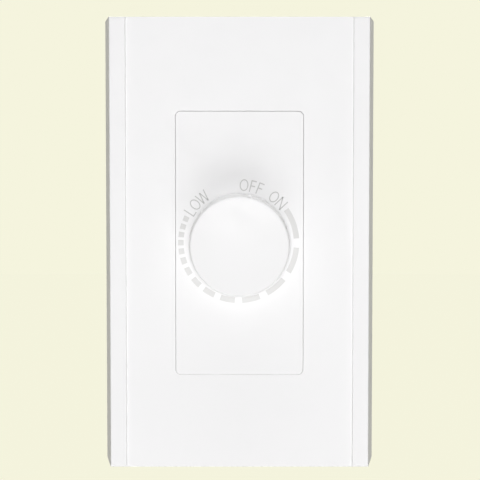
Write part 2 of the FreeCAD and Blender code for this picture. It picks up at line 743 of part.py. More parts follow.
def make_knob():
    """The turning knob: crowned front, hollow back, ribbed hub with a flat-sided bore, index groove."""
    ball_radius = (KNOB_FRONT_RADIUS ** 2 + KNOB_CROWN ** 2) / (2 * KNOB_CROWN)
    body = frustum(KNOB_FRONT_RADIUS, KNOB_RADIUS, (knob_front, knob_back))
    ball = Part.makeSphere(ball_radius, vec(0, knob_front + ball_radius, 0))
    body = body.common(ball)
    rim = []
    for edge in body.Edges:
        box = edge.BoundBox
        on_front = box.YMax < knob_front + 2 * KNOB_CROWN
        if on_front and box.XLength > KNOB_FRONT_RADIUS:
            rim.append(edge)
    body = body.makeFillet(KNOB_EDGE_ROUND, rim)
    groove = slab(
        across(INDEX_WIDTH / 2),
        (knob_front - OVERSHOOT, knob_back - KNOB_HEIGHT / 4),
        (KNOB_FRONT_RADIUS / 2, KNOB_RADIUS + OVERSHOOT),
    )
    groove = groove.cut(knob_side(INDEX_DEPTH))
    body = body.cut(turned(groove, INDEX_ANGLE))
    room = knob_side(KNOB_WALL).common(disc(KNOB_RADIUS, (knob_ceiling, knob_back + OVERSHOOT)))
    body = body.cut(room)
    pieces = [body, disc(KNOB_HUB_RADIUS, (knob_ceiling - KNOB_WALL / 2, knob_back))]
    rib_back = (knob_ceiling + knob_back) / 2
    rib = slab(
        across(KNOB_RIB_THICKNESS / 2),
        (knob_ceiling - KNOB_WALL / 2, rib_back),
        (KNOB_HUB_RADIUS / 2, KNOB_FRONT_RADIUS - KNOB_WALL / 2),
    )
    for i in range(KNOB_RIBS):
        pieces.append(turned(rib, 360.0 * i / KNOB_RIBS))
    knob = joined(pieces)
    bore = disc(SHAFT_RADIUS + THREAD_ROOM, (knob_ceiling, knob_back + OVERSHOOT))
    flat = slab(
        across(KNOB_RADIUS),
        (knob_ceiling - OVERSHOOT, knob_back + 2 * OVERSHOOT),
        (-KNOB_RADIUS, shaft_flat_z() - THREAD_ROOM),
    )
    knob = knob.cut(bore.cut(flat))
    return knob.cut(clip_space(THREAD_ROOM))


def shaft_flat_z():
    """Height of the flat on the shaft's front end."""
    return SHAFT_FLAT_DEPTH - SHAFT_RADIUS


def clip_space(room):
    """The slot in the knob's hub that the spring clip fills, with room to spare."""
    top = shaft_flat_z() - THREAD_ROOM + room
    low = shaft_flat_z() - THREAD_ROOM - 2 * CLIP_THICKNESS - room
    front = knob_ceiling + KNOB_HEIGHT / 5 - room
    return slab(across(CLIP_WIDTH / 2 + room), (front, knob_back + room), (low, top))


def make_knob_clip():
    """A bowed strip of spring steel that presses the knob's hub against the shaft's flat."""
    box = clip_space(0.0).BoundBox
    middle = (box.YMin + box.YMax) / 2
    profile = [
        (box.YMin, box.ZMin, 0.0),
        (middle, box.ZMax - CLIP_THICKNESS, 0.0),
        (box.YMax, box.ZMin, 0.0),
        (box.YMax, box.ZMin + CLIP_THICKNESS, 0.0),
        (middle, box.ZMax, 0.0),
        (box.YMin, box.ZMin + CLIP_THICKNESS, 0.0),
    ]
    return along_x(profile, (box.XMin, box.XMax))


def ring_limits():
    """Limits along Y of the groove in front of the bushing."""
    front = -BUSHING_NECK - RING_THICKNESS - 2 * RUNNING_CLEARANCE
    return (front, front + RING_THICKNESS)


def make_shaft():
    """The flatted spindle, with a groove for its ring and a thinner tail for the cam."""
    main = disc(SHAFT_RADIUS, (shaft_front, case_inside))
    nose = [edge for edge in main.Edges if abs(edge.BoundBox.YMax - shaft_front) < 1e-4]
    main = main.makeChamfer(SHAFT_CHAMFER, nose[:1])
    tail = disc(SHAFT_TAIL_RADIUS, (case_inside - OVERSHOOT, cam_back))
    shaft = joined([main, tail])
    flat = slab(
        across(2 * SHAFT_RADIUS),
        (shaft_front - OVERSHOOT, insert_front - THREAD_ROOM),
        (-2 * SHAFT_RADIUS, shaft_flat_z()),
    )
    shaft = shaft.cut(flat)
    groove = tube(SHAFT_RADIUS + OVERSHOOT, SHAFT_RADIUS - RING_GROOVE_DEPTH, ring_limits())
    return shaft.cut(groove)


def make_shaft_ring():
    """An open ring that keeps the shaft from sliding back."""
    y0, y1 = ring_limits()
    limits = (y0 + THREAD_ROOM, y1 - THREAD_ROOM)
    ring = tube(RING_RADIUS, SHAFT_RADIUS - RING_GROOVE_DEPTH + THREAD_ROOM, limits)
    mouth = slab(across(SHAFT_RADIUS / 2), (y0 - OVERSHOOT, y1 + OVERSHOOT), (0.0, RING_RADIUS + OVERSHOOT))
    return ring.cut(mouth)


def make_pot_bushing():
    """The threaded neck with its flange and the collar staked through the wafer."""
    neck = disc(BUSHING_RADIUS, (-BUSHING_NECK, BUSHING_FLANGE))
    tip = [edge for edge in neck.Edges if abs(edge.BoundBox.YMax + BUSHING_NECK) < 1e-4]
    neck = neck.makeChamfer(SHAFT_CHAMFER, tip[:1])
    flange = disc(BUSHING_FLANGE_RADIUS, (0.0, BUSHING_FLANGE))
    collar = disc(BUSHING_RADIUS, (0.0, collar_back))
    bushing = joined([neck, flange, collar])
    bore = disc(SHAFT_RADIUS + RUNNING_CLEARANCE, (-BUSHING_NECK - OVERSHOOT, collar_back + OVERSHOOT))
    return bushing.cut(bore)


def make_lock_washer():
    """A washer with teeth round its edge, between the nut and the strap."""
    washer = tube(WASHER_RADIUS, BUSHING_RADIUS + THREAD_ROOM, (washer_front, strap_front))
    width = math.pi * WASHER_RADIUS / WASHER_TEETH / 2
    notch = slab(
        across(width / 2),
        (washer_front - OVERSHOOT, strap_front + OVERSHOOT),
        ((WASHER_RADIUS + BUSHING_RADIUS) / 2, WASHER_RADIUS + OVERSHOOT),
    )
    for i in range(WASHER_TEETH):
        washer = washer.cut(turned(notch, 360.0 * i / WASHER_TEETH))
    return washer


def make_pot_nut():
    """The hexagon nut on the bushing, bevelled on its front corners."""
    corner_radius = NUT_FLATS / math.sqrt(3)
    corners = []
    for i in range(6):
        angle = math.radians(60.0 * i)
        corners.append((corner_radius * math.cos(angle), corner_radius * math.sin(angle), 0.0))
    nut = along_y(corners, (nut_front, washer_front))
    slope = corner_radius - NUT_FLATS / 2 + THREAD_ROOM
    cone = frustum(NUT_FLATS / 2 - THREAD_ROOM, corner_radius + slope, (nut_front, nut_front + 2 * slope))
    below = disc(corner_radius + slope, (nut_front + slope, washer_front + OVERSHOOT))
    nut = nut.common(joined([cone, below]))
    return nut.cut(disc(BUSHING_RADIUS + THREAD_ROOM, (nut_front - OVERSHOOT, washer_front + OVERSHOOT)))


def make_pot_case():
    """The drawn cup round the wiper: clinch tabs, turn stop and the lug in the strap."""
    inside = POT_RADIUS - CASE_WALL
    cup = disc(POT_RADIUS, (BUSHING_FLANGE, case_back))
    cup = cup.cut(disc(inside, (BUSHING_FLANGE - OVERSHOOT, case_inside)))
    through = (case_inside - OVERSHOOT, case_back + OVERSHOOT)
    cup = cup.cut(disc(SHAFT_TAIL_RADIUS + SHAFT_HOLE_CLEARANCE, through))
    window = slab(
        across(WAFER_TONGUE_WIDTH / 2 + HOLE_CLEARANCE),
        (BUSHING_FLANGE - OVERSHOOT, wafer_back + SHEET + HOLE_CLEARANCE),
        (-POT_RADIUS - OVERSHOOT, 0.0),
    )
    cup = cup.cut(window)
    pieces = [cup]
    tab = (BUSHING_FLANGE - CASE_WALL, BUSHING_FLANGE)
    for middle in (0.0, CLINCH_SIDE, 360.0 - CLINCH_SIDE):
        pieces.append(ring_sector(carrier_radius(), POT_RADIUS, tab, middle, CLINCH_SPREAD))
        root = (BUSHING_FLANGE - CASE_WALL, wafer_back)
        pieces.append(ring_sector(inside, POT_RADIUS, root, middle, CLINCH_SPREAD))
    lug = slab(across(lug_width() / 2), (strap_front * 0.75, BUSHING_FLANGE), lug_limits(0.0))
    pieces.append(lug)
    stop_spread = 360.0 - TURN_RANGE - STOP_LUG_ANGLE - 2 * STOP_MARGIN
    stop_inside = carrier_radius() + HOLE_CLEARANCE
    stop = (carrier_front, case_inside + CASE_WALL / 2)
    pieces.append(ring_sector(stop_inside, inside + CASE_WALL / 2, stop, stop_angle(), stop_spread))
    return joined(pieces)


def carrier_radius():
    """Radius of the wiper carrier's disc inside its stop lug."""
    return POT_RADIUS * 0.78


def stop_angle():
    """Where the case's turn stop sits: opposite the middle of the lug's sweep, with the lug at the top."""
    return TURN_RANGE / 2 + 180.0


def make_track_wafer():
    """The insulating wafer with its tongue for the terminals."""
    depth = (BUSHING_FLANGE, wafer_back)
    wafer = disc(POT_RADIUS - CASE_WALL - THREAD_ROOM, depth)
    tongue = slab(across(WAFER_TONGUE_WIDTH / 2), depth, (-terminal_z, -POT_RADIUS / 2))
    wafer = joined([wafer, tongue])
    hole = disc(BUSHING_RADIUS + THREAD_ROOM, (0.0, wafer_back + OVERSHOOT))
    return wafer.cut(hole)


def make_pot_terminals():
    """Three strips on the wafer's tongue, bent back through the board."""
    strips = []
    for i in (-1, 0, 1):
        x = i * TERMINAL_PITCH
        top = -POT_RADIUS - HOLE_CLEARANCE
        foot = slab(across(TERMINAL_WIDTH / 2, x), (wafer_back, wafer_back + SHEET), (-pin_z, top))
        pin = slab(across(TERMINAL_PIN_WIDTH / 2, x), (wafer_back, pin_back), (-pin_z, -terminal_z))
        strips.append(joined([foot, pin]))
    return Part.makeCompound(strips)


def make_wiper_carrier():
    """The moulded disc on the shaft, with a hub and a lug that meets the turn stop."""
    plate = disc(carrier_radius(), (carrier_front, carrier_back))
    hub = disc(CARRIER_HUB_RADIUS, (collar_back + RUNNING_CLEARANCE * 3, case_inside - RUNNING_CLEARANCE * 3))
    tip = POT_RADIUS - CASE_WALL - HOLE_CLEARANCE
    lug = ring_sector(CARRIER_HUB_RADIUS, tip, (carrier_front, carrier_back), 0.0, STOP_LUG_ANGLE)
    carrier = joined([plate, hub, lug])
    bore = disc(SHAFT_RADIUS + THREAD_ROOM / 3, (0.0, case_back))
    return carrier.cut(bore)


def make_wiper_spring():
    """The contact spring on the carrier's front, with two fingers down to the track."""
    flat = (carrier_front - WIPER_SHEET, carrier_front)
    outside = carrier_radius() - HOLE_CLEARANCE
    ring = tube(outside, CARRIER_HUB_RADIUS + THREAD_ROOM, flat)
    touch = wafer_back + WIPER_LIFT
    reach = carrier_radius() * 0.7
    profile = [
        (0.0, carrier_front - WIPER_SHEET, 0.0),
        (reach, touch, 0.0),
        (reach * 1.12, touch + WIPER_SHEET, 0.0),
        (reach, touch + WIPER_SHEET, 0.0),
        (WIPER_SHEET * 2, carrier_front - WIPER_SHEET / 2, 0.0),
        (0.0, carrier_front - WIPER_SHEET / 2, 0.0),
    ]
    width = (outside - CARRIER_HUB_RADIUS) * 0.3
    radius = (outside + CARRIER_HUB_RADIUS) / 2
    finger = along_z(profile, across(width, radius))
    return joined([ring, turned(finger, WIPER_ANGLE), turned(finger, WIPER_ANGLE + WIPER_SPLIT)])


def leaf_root_x():
    """Distance of the leaf's clamped end from the shaft's axis."""
    return CAM_LOBE_RADIUS + LEAF_GAP - LEAF_SET


def leaf_tip_x():
    """Distance of the leaf's tip, held open by the lobe, from the plane of the axis."""
    return CAM_LOBE_RADIUS + LEAF_GAP + LEAF_SWING


def leaf_depth():
    """Limits along Y of the contact strips."""
    return (cam_front + HOLE_CLEARANCE, cam_back - HOLE_CLEARANCE)


def post_z():
    """Near and far ends along Z of the leaf's clamping post."""
    return (CAM_LOBE_RADIUS + POST_ROOM, POT_RADIUS * 0.9)


def fixed_x():
    """Front of the fixed contact's button, facing the leaf."""
    return leaf_tip_x() - CONTACT_HEIGHT - CONTACT_OPENING


def contact_z():
    """Height of the two contact buttons."""
    return CONTACT_INSET - LEAF_REACH


def make_switch_base():
    """The insulating back of the potentiometer, with posts that hold the two contacts."""
    base = tube(POT_RADIUS, SHAFT_TAIL_RADIUS + SHAFT_HOLE_CLEARANCE, (case_back, switch_back))
    root = leaf_root_x()
    depth = (switch_back - SWITCH_BASE_THICKNESS / 2, cam_back)
    post = slab((root - POST_CHEEK, root + LEAF_SHEET + POST_CHEEK), depth, post_z())
    strip_x = fixed_x() - CONTACT_HEIGHT - SHEET
    shelf = slab((strip_x - SHELF_THICKNESS, strip_x), depth, across(STRIP_HALF, contact_z()))
    base = joined([base, post, shelf])
    slot = slab(
        (root - THREAD_ROOM, root + LEAF_SHEET + THREAD_ROOM),
        (switch_back, cam_back + OVERSHOOT),
        (0.0, POT_RADIUS + OVERSHOOT),
    )
    return base.cut(slot)


def make_switch_cam():
    """The cam on the shaft's tail. Its lobe holds the leaf open while the knob stands at OFF."""
    depth = (cam_front, cam_back)
    tip_x = CAM_LOBE_RADIUS - CAM_LOBE_TIP
    lobe = disc(CAM_LOBE_TIP, depth, tip_x)
    neck = slab((0.0, tip_x), depth, across(CAM_LOBE_TIP))
    cam = joined([disc(CAM_RADIUS, depth), lobe, neck])
    return cam.cut(disc(SHAFT_TAIL_RADIUS + THREAD_ROOM / 3, (case_back, cam_back + OVERSHOOT)))


def button(x, z):
    """A contact button with its axis along X, between the limits x."""
    middle = sum(leaf_depth()) / 2
    return Part.makeCylinder(CONTACT_RADIUS, x[1] - x[0], vec(x[0], middle, z), vec(1, 0, 0))


def make_contact_leaf():
    """The springy contact, drawn as the lobe bends it at OFF, with its tail through the board."""
    root = leaf_root_x()
    held = CAM_LOBE_RADIUS + LEAF_GAP
    tip = leaf_tip_x()
    near, far = post_z()
    inner = [(root, far, 0.0), (root, near - LEAF_GAP, 0.0), (held, 0.0, 0.0), (tip, -LEAF_REACH, 0.0)]
    outer = [(x + LEAF_SHEET, z, radius) for x, z, radius in reversed(inner)]
    leaf = along_y(inner + outer, leaf_depth())
    tail = slab((root, root + LEAF_SHEET), (leaf_depth()[0], pin_back), (far - TAIL_WIDTH, far))
    knob_x = held + (tip - held) * -contact_z() / LEAF_REACH
    stud = button((knob_x - CONTACT_HEIGHT, knob_x + LEAF_SHEET / 2), contact_z())
    return joined([leaf, tail, stud])


def make_fixed_contact():
    """The fixed contact on its shelf, with a tail through the board."""
    back = fixed_x() - CONTACT_HEIGHT
    limits = (back - SHEET, back)
    low = contact_z() - STRIP_HALF
    strip = slab(limits, leaf_depth(), across(STRIP_HALF, contact_z()))
    tail = slab(limits, (leaf_depth()[0], pin_back), (low, low + TAIL_WIDTH))
    stud = button((back - SHEET / 2, back + CONTACT_HEIGHT), contact_z())
    return joined([strip, tail, stud])


def triac_hole_x():
    """Place of the triac's rivet along X."""
    return triac_end_x() - TRIAC_TAB_LENGTH + TRIAC_RIVET_RADIUS * 1.8


def triac_end_x():
    """The end of the triac that its legs leave from."""
    return TRIAC_TAB_LENGTH / 2 - TRIAC_SHIFT


def leg_x():
    """Where the triac's legs bend back towards the board."""
    return triac_end_x() + TRIAC_LEG_RUN


def make_triac_tab():
    """The metal of the triac: its cooling tab and its three legs."""
    tab_back = PAD_THICKNESS + TRIAC_TAB_THICKNESS
    end = triac_end_x()
    start = end - TRIAC_TAB_LENGTH
    split = end - TRIAC_BODY_LENGTH
    tab = slab((start, split), (PAD_THICKNESS, tab_back), across(TRIAC_WIDTH / 2, triac_z))
    tongue = slab((split, end - TRIAC_LIP), (PAD_THICKNESS, tab_back), across(TRIAC_WIDTH / 2, triac_z))
    hole = disc(TRIAC_RIVET_RADIUS + THREAD_ROOM, (0.0, tab_back + OVERSHOOT), triac_hole_x(), triac_z)
    plate = joined([tab, tongue]).cut(hole)
    solids = [plate]
    level = PAD_THICKNESS + TRIAC_BODY_THICKNESS * 0.6
    for i in (-1, 0, 1):
        z = triac_z + i * TRIAC_PITCH
        run = slab((end, leg_x()), (level, level + SHEET), across(TRIAC_LEG_WIDTH / 2, z))
        drop = slab((leg_x() - SHEET, leg_x()), (level, pin_back), across(TRIAC_LEG_WIDTH / 2, z))
        solids.append(joined([run, drop]))
    return Part.makeCompound(solids)


def make_triac_body():
    """The moulded case of the triac, over its tab."""
    tab_back = PAD_THICKNESS + TRIAC_TAB_THICKNESS
    end = triac_end_x()
    back = PAD_THICKNESS + TRIAC_BODY_THICKNESS
    bevel = TRIAC_TAB_THICKNESS
    profile = [
        (end - TRIAC_BODY_LENGTH, tab_back, 0.0),
        (end - TRIAC_LIP, tab_back, 0.0),
        (end - TRIAC_LIP, PAD_THICKNESS, 0.0),
        (end, PAD_THICKNESS, 0.0),
        (end, back, 0.0),
        (end - TRIAC_BODY_LENGTH + bevel, back, 0.0),
    ]
    return along_z(profile, across(TRIAC_WIDTH / 2, triac_z))


def make_triac_pad():
    """The thin insulator between the triac and the strap."""
    end = triac_end_x() + PAD_MARGIN
    start = triac_end_x() - TRIAC_TAB_LENGTH - PAD_MARGIN
    pad = slab((start, end), (0.0, PAD_THICKNESS), across(TRIAC_WIDTH / 2 + PAD_MARGIN, triac_z))
    return pad.cut(disc(TRIAC_RIVET_RADIUS + THREAD_ROOM, across(OVERSHOOT), triac_hole_x(), triac_z))


def make_triac_rivet():
    """The rivet that clamps the triac's tab to the strap."""
    x = triac_hole_x()
    tab_back = PAD_THICKNESS + TRIAC_TAB_THICKNESS
    head = disc(TRIAC_RIVET_RADIUS * 1.6, (strap_front - TRIAC_RIVET_HEAD, strap_front), x, triac_z)
    shank = disc(TRIAC_RIVET_RADIUS, (strap_front, tab_back), x, triac_z)
    foot = disc(TRIAC_RIVET_RADIUS * 1.4, (tab_back, tab_back + TRIAC_RIVET_HEAD), x, triac_z)
    return joined([head, shank, foot])


def make_choke_core():
    """The ferrite drum: a post between two flanges, standing on the board."""
    front = board_front - CHOKE_HEIGHT
    lower = disc(CHOKE_RADIUS, (board_front - CHOKE_FLANGE, board_front), choke_x(), choke_z)
    upper = disc(CHOKE_RADIUS, (front, front + CHOKE_FLANGE), choke_x(), choke_z)
    post = disc(CHOKE_CORE_RADIUS, (front, board_front), choke_x(), choke_z)
    return joined([lower, upper, post])


def choke_x():
    """Place of the choke along X, on the far side from the triac's legs."""
    return -CHOKE_RADIUS / 2


def make_choke_winding():
    """The copper on the choke: one rounded ridge for each turn."""
    front = board_front - CHOKE_HEIGHT + CHOKE_FLANGE + THREAD_ROOM
    back = board_front - CHOKE_FLANGE - THREAD_ROOM
    pitch = (back - front) / CHOKE_TURNS
    inside = CHOKE_CORE_RADIUS + THREAD_ROOM
    crest = CHOKE_RADIUS - CHOKE_COVER
    valley = crest - pitch / 3
    edges = [Part.makeLine(vec(inside, front, 0), vec(valley, front, 0))]
    for i in range(CHOKE_TURNS):
        start = front + i * pitch
        points = (vec(valley, start, 0), vec(crest, start + pitch / 2, 0), vec(valley, start + pitch, 0))
        edges.append(Part.Arc(*points).toShape())
    edges.append(Part.makeLine(vec(valley, back, 0), vec(inside, back, 0)))
    edges.append(Part.makeLine(vec(inside, back, 0), vec(inside, front, 0)))
    winding = Part.Face(Part.Wire(edges)).revolve(vec(0, 0, 0), vec(0, 1, 0), 360)
    winding.translate(vec(choke_x(), 0, choke_z))
    return winding


def make_film_capacitors():
    """Two boxed capacitors below the potentiometer."""
    boxes = []
    for side in (-1, 1):
        box = oblong(
            CAPACITOR_LENGTH / 2,
            CAPACITOR_WIDTH / 2,
            CAPACITOR_CORNER,
            (board_front - CAPACITOR_HEIGHT, board_front),
            side * CAPACITOR_SPACING / 2,
            capacitor_z,
        )
        boxes.append(box)
    return Part.makeCompound(boxes)


def axial_places():
    """Middle, half length and body radius of each resistor and of the trigger diode, along Z."""
    level = board_front - RESISTOR_RADIUS - WIRE_RADIUS
    half = RESISTOR_LENGTH / 2
    return {
        "resistors": [
            (side_x, level, RIGHT_RESISTOR_HEIGHT, half),
            (-side_x, level, LEFT_RESISTOR_HEIGHT, half),
        ],
        "diode": [(-side_x, level, -DIODE_DROP, DIODE_LENGTH / 2)],
    }


def axial_body(place, radius):
    """The barrel of a part with a wire at each end."""
    x, y, z, half = place
    return Part.makeCylinder(radius, 2 * half, vec(x, y, z - half), vec(0, 0, 1))


def make_resistors():
    """Two resistors beside the potentiometer."""
    return Part.makeCompound([axial_body(p, RESISTOR_RADIUS) for p in axial_places()["resistors"]])


def make_trigger_diode():
    """The small glass diode that fires the triac."""
    return axial_body(axial_places()["diode"][0], DIODE_RADIUS)


def make_component_wires():
    """The bent wires of the resistors and the diode, into the board."""
    wires = []
    for places in axial_places().values():
        for x, y, z, half in places:
            for side in (-1, 1):
                start = vec(x, y, z + side * half)
                bend = z + side * (half + WIRE_RUN)
                run = Part.makeCylinder(WIRE_RADIUS, WIRE_RUN, start, vec(0, 0, side))
                knee = Part.makeSphere(WIRE_RADIUS, vec(x, y, bend))
                drop = disc(WIRE_RADIUS, (y, pin_back), x, bend)
                wires.append(joined([run, knee, drop]))
    return Part.makeCompound(wires)


def make_circuit_board():
    """The board on the housing's ledges, drilled for every pin that passes through it."""
    half_width = room_half_width - HOUSING_DRAFT - BOARD_CLEARANCE
    half_height = room_half_height - HOUSING_DRAFT - BOARD_CLEARANCE
    board = oblong(half_width, half_height, BOARD_CORNER, (board_front, board_back))
    through = (board_front - OVERSHOOT, board_back + OVERSHOOT)
    cuts = []
    for x in (-boss_x, boss_x):
        for z in (-boss_z, boss_z):
            cuts.append(disc(BOSS_RADIUS + 2 * HOLE_CLEARANCE, through, x, z))
            edge = sorted((z, math.copysign(room_half_height, z)))
            cuts.append(slab(across(BOSS_RADIUS + 2 * HOLE_CLEARANCE, x), through, edge))
    for i in (-1, 0, 1):
        pin = across(SHEET / 2 + HOLE_CLEARANCE, -terminal_z - SHEET / 2)
        cuts.append(slab(across(TERMINAL_PIN_WIDTH / 2 + HOLE_CLEARANCE, i * TERMINAL_PITCH), through, pin))
        leg = across(TRIAC_LEG_WIDTH / 2 + HOLE_CLEARANCE, triac_z + i * TRIAC_PITCH)
        cuts.append(slab(across(SHEET / 2 + HOLE_CLEARANCE, leg_x() - SHEET / 2), through, leg))
    for strip in (make_contact_leaf(), make_fixed_contact()):
        tail = strip.common(slab(across(POT_RADIUS), (board_front, board_back), across(POT_RADIUS))).BoundBox
        cuts.append(
            slab(
                (tail.XMin - HOLE_CLEARANCE, tail.XMax + HOLE_CLEARANCE),
                through,
                (tail.ZMin - HOLE_CLEARANCE, tail.ZMax + HOLE_CLEARANCE),
            )
        )
    for places in axial_places().values():
        for x, y, z, half in places:
            for side in (-1, 1):
                cuts.append(disc(WIRE_RADIUS + HOLE_CLEARANCE / 2, through, x, z + side * (half + WIRE_RUN)))
    for cut in cuts:
        board = board.cut(cut)
    return board


NODES = {
    "cover_plate": make_cover_plate,
    "sub_plate": make_sub_plate,
    "plate_screws": make_plate_screws,
    "face_insert": make_face_insert,
    "mounting_strap": make_mounting_strap,
    "box_screws": make_box_screws,
    "screw_retainers": make_screw_retainers,
    "housing_screws": make_housing_screws,
    "rear_housing": make_rear_housing,
    "knob": make_knob,
    "knob_clip": make_knob_clip,
    "shaft": make_shaft,
    "shaft_ring": make_shaft_ring,
    "pot_bushing": make_pot_bushing,
    "lock_washer": make_lock_washer,
    "pot_nut": make_pot_nut,
    "pot_case": make_pot_case,
    "track_wafer": make_track_wafer,
    "pot_terminals": make_pot_terminals,
    "wiper_carrier": make_wiper_carrier,
    "wiper_spring": make_wiper_spring,
    "switch_base": make_switch_base,
    "switch_cam": make_switch_cam,
    "contact_leaf": make_contact_leaf,
    "fixed_contact": make_fixed_contact,
    "circuit_board": make_circuit_board,
    "triac_tab": make_triac_tab,
    "triac_body": make_triac_body,
    "triac_pad": make_triac_pad,
    "triac_rivet": make_triac_rivet,
    "choke_core": make_choke_core,
    "choke_winding": make_choke_winding,
    "film_capacitors": make_film_capacitors,
    "resistors": make_resistors,
    "trigger_diode": make_trigger_diode,
    "component_wires": make_component_wires,
}

os.makedirs("parts", exist_ok=True)
for node, maker in NODES.items():
    shape = maker()
    shape.exportStep("parts/" + node + ".step")
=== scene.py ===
import math

import bmesh
import bpy
import numpy as np
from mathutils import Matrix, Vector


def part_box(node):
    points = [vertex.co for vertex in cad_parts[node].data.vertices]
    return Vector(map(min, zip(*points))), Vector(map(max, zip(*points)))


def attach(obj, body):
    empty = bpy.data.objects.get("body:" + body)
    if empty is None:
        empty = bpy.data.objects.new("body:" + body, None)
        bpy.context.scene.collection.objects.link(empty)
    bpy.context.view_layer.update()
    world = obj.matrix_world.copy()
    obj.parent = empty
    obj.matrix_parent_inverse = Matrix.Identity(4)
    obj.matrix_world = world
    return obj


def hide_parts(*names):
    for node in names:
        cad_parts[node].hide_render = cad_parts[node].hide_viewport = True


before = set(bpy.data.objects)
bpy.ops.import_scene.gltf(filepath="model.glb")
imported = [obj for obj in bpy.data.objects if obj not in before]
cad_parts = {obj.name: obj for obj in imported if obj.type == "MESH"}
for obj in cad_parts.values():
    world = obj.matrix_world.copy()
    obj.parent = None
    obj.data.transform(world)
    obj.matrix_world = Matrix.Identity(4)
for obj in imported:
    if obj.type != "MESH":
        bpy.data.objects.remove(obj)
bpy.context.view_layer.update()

# The looks of a rotary fan speed control: white mouldings, a printed dial, threaded screws
# and the finishes of the pieces behind the plate. Lengths are metres unless a name says mm.
MM = 0.001

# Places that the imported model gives
INSERT_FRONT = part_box("face_insert")[0].y
PLATE_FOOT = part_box("cover_plate")[0].z

# Camera, set by the photograph's edges
CAMERA_DISTANCE = 300 * MM  # from the wall plane
CAMERA_HEIGHT = 21.2 * MM  # above the shaft's axis
CAMERA_SIDE = 0.13 * MM  # to the right of the axis
CAMERA_TILT = math.radians(2.4)  # downwards
CAMERA_LENS_MM = 85.95
CAMERA_SHIFT_UP = -0.067

# Backdrop and light
CREAM = (0.913, 0.905, 0.730)
LAMP_WHITE = (1.0, 0.996, 1.0)
AMBIENT = 0.10
FLOOR_PALE = (0.82, 0.815, 0.79)
FLOOR_GLOW = 0.95  # share of the floor's look that is the plain backdrop colour
FLOOR_DROP = 650 * MM  # under the foot of the plate
FLOOR_SIZE = 14.0
FLOOR_STRENGTH = 1.04  # of the backdrop colour on the floor
LAMPS = {  # place, width, height and watts; each lamp faces the shaft's axis at the wall plane
    "front_lamp": ((0.0, -1.0, 0.10), 0.20, 0.16, 5.15),
    "low_lamp": ((0.04, -0.55, -0.53), 0.70, 0.50, 2.3),
    "top_lamp": ((0.0, -0.08, 0.80), 0.6, 0.3, 2.7),
    "back_lamp": ((0.0, 1.0, 0.60), 0.8, 0.8, 11.0),
}

# Finish of the meshes and of the mouldings' and metals' grain
SMOOTH_BELOW = math.radians(38)  # edges that turn by more than this stay sharp
GRAIN_DEPTH = 0.02 * MM

# Printed dial, round the knob
INK_HEIGHT = 0.025 * MM
DIAL_X = -0.2 * MM  # the print's middle, beside the knob's
DIAL_Z = 0.22 * MM
DASH_INNER = 13.95 * MM
DASH_OUTER = 15.35 * MM
DASH_COUNT = 14
DASH_STEPS = 13  # points along a dash
DASH_START = 55.0  # degrees clockwise from the top
FIRST_PITCH = 39.9  # degrees from the first dash to the second
LAST_PITCH = 8.1
PITCH_TAPER = 10.2  # dashes over which the pitch falls
PITCH_POWER = 1.82
FIRST_FILL = 0.77  # share of its pitch that a dash fills
LAST_FILL = 0.65
WORD_RADIUS = 14.65 * MM  # at the middle of the letters
CAP_HEIGHT = 3.0 * MM
LETTER_STROKE = 0.28 * MM
ROUND_LETTER_HALF = (0.37, 0.5)  # half the width and height of the letter O, in cap heights
ROUND_LETTER_STEPS = 40
DIAL_WORDS = {
    "OFF": (5.3, 14.4, 21.8),
    "ON": (37.7, 47.2),
    "LOW": (-56.8, -48.7, -38.4),
}

# Resistive track on the wafer, under the wiper's fingers
TRACK_INNER = 6.2 * MM
TRACK_OUTER = 8.6 * MM
TRACK_REACH = 152.0  # degrees to each side of the top
TRACK_FILM = 0.04 * MM
TRACK_STEPS = 97

# Solder side of the circuit board; places are (x, z) in millimetres
SOLDERED_PINS = {
    "left_resistor": ((-16.0, 10.9), (-16.0, -0.9)),
    "right_resistor": ((16.0, 8.9), (16.0, -2.9)),
    "trigger_diode": ((-16.0, -2.8), (-16.0, -10.2)),
    "triac": ((10.65, 15.16), (10.65, 17.7), (10.65, 20.24)),
    "potentiometer": ((-5.0, -15.05), (0.0, -15.05), (5.0, -15.05)),
    "switch": ((6.25, 10.2), (4.35, -10.3)),
    "supply_leads": ((-4.0, -20.0), (4.0, -20.0)),
}
COPPER_ROUTES = {
    "supply_to_switch": ((-4.0, -20.0), (-10.5, -20.0), (-10.5, 4.7), (-5.0, 10.2), (6.25, 10.2)),
    "switch_to_potentiometer": ((4.35, -10.3), (5.0, -15.05)),
    "switch_to_triac": ((4.35, -10.3), (10.65, -4.0), (10.65, 15.16)),
    "wiper_to_track": ((0.0, -15.05), (-5.0, -15.05)),
    "gate_to_diode": ((10.65, 20.24), (-11.2, 20.24), (-13.5, 18.0), (-13.5, -7.7), (-16.0, -10.2)),
    "diode_to_resistor": ((-16.0, -2.8), (-16.0, -0.9)),
    "resistor_to_choke": ((-16.0, 10.9), (-16.0, 23.0), (-12.5, 26.5), (-3.2, 26.5)),
    "resistor_to_triac": ((16.0, 8.9), (16.0, 12.4), (10.65, 17.7)),
    "resistor_to_load": ((16.0, -2.9), (16.0, -16.5), (12.5, -20.0), (4.0, -20.0)),
}
COPPER_WIDTH = 1.6 * MM
COPPER_FILM = 0.05 * MM
SOLDER_FOOT = 1.15 * MM
SOLDER_NECK = 0.55 * MM
SOLDER_HEIGHT = 0.62 * MM
SOLDER_RINGS = 8
SOLDER_SIDES = 20

# Colour rings of the resistors, by the share of the body's length where each starts
RESISTOR_LENGTH = 8.6 * MM
RING_COLOURS = {
    0.17: (0.11, 0.035, 0.015),
    0.33: (0.012, 0.012, 0.012),
    0.49: (0.70, 0.16, 0.02),
    0.76: (0.42, 0.28, 0.06),
}
RING_SHARE = 0.08

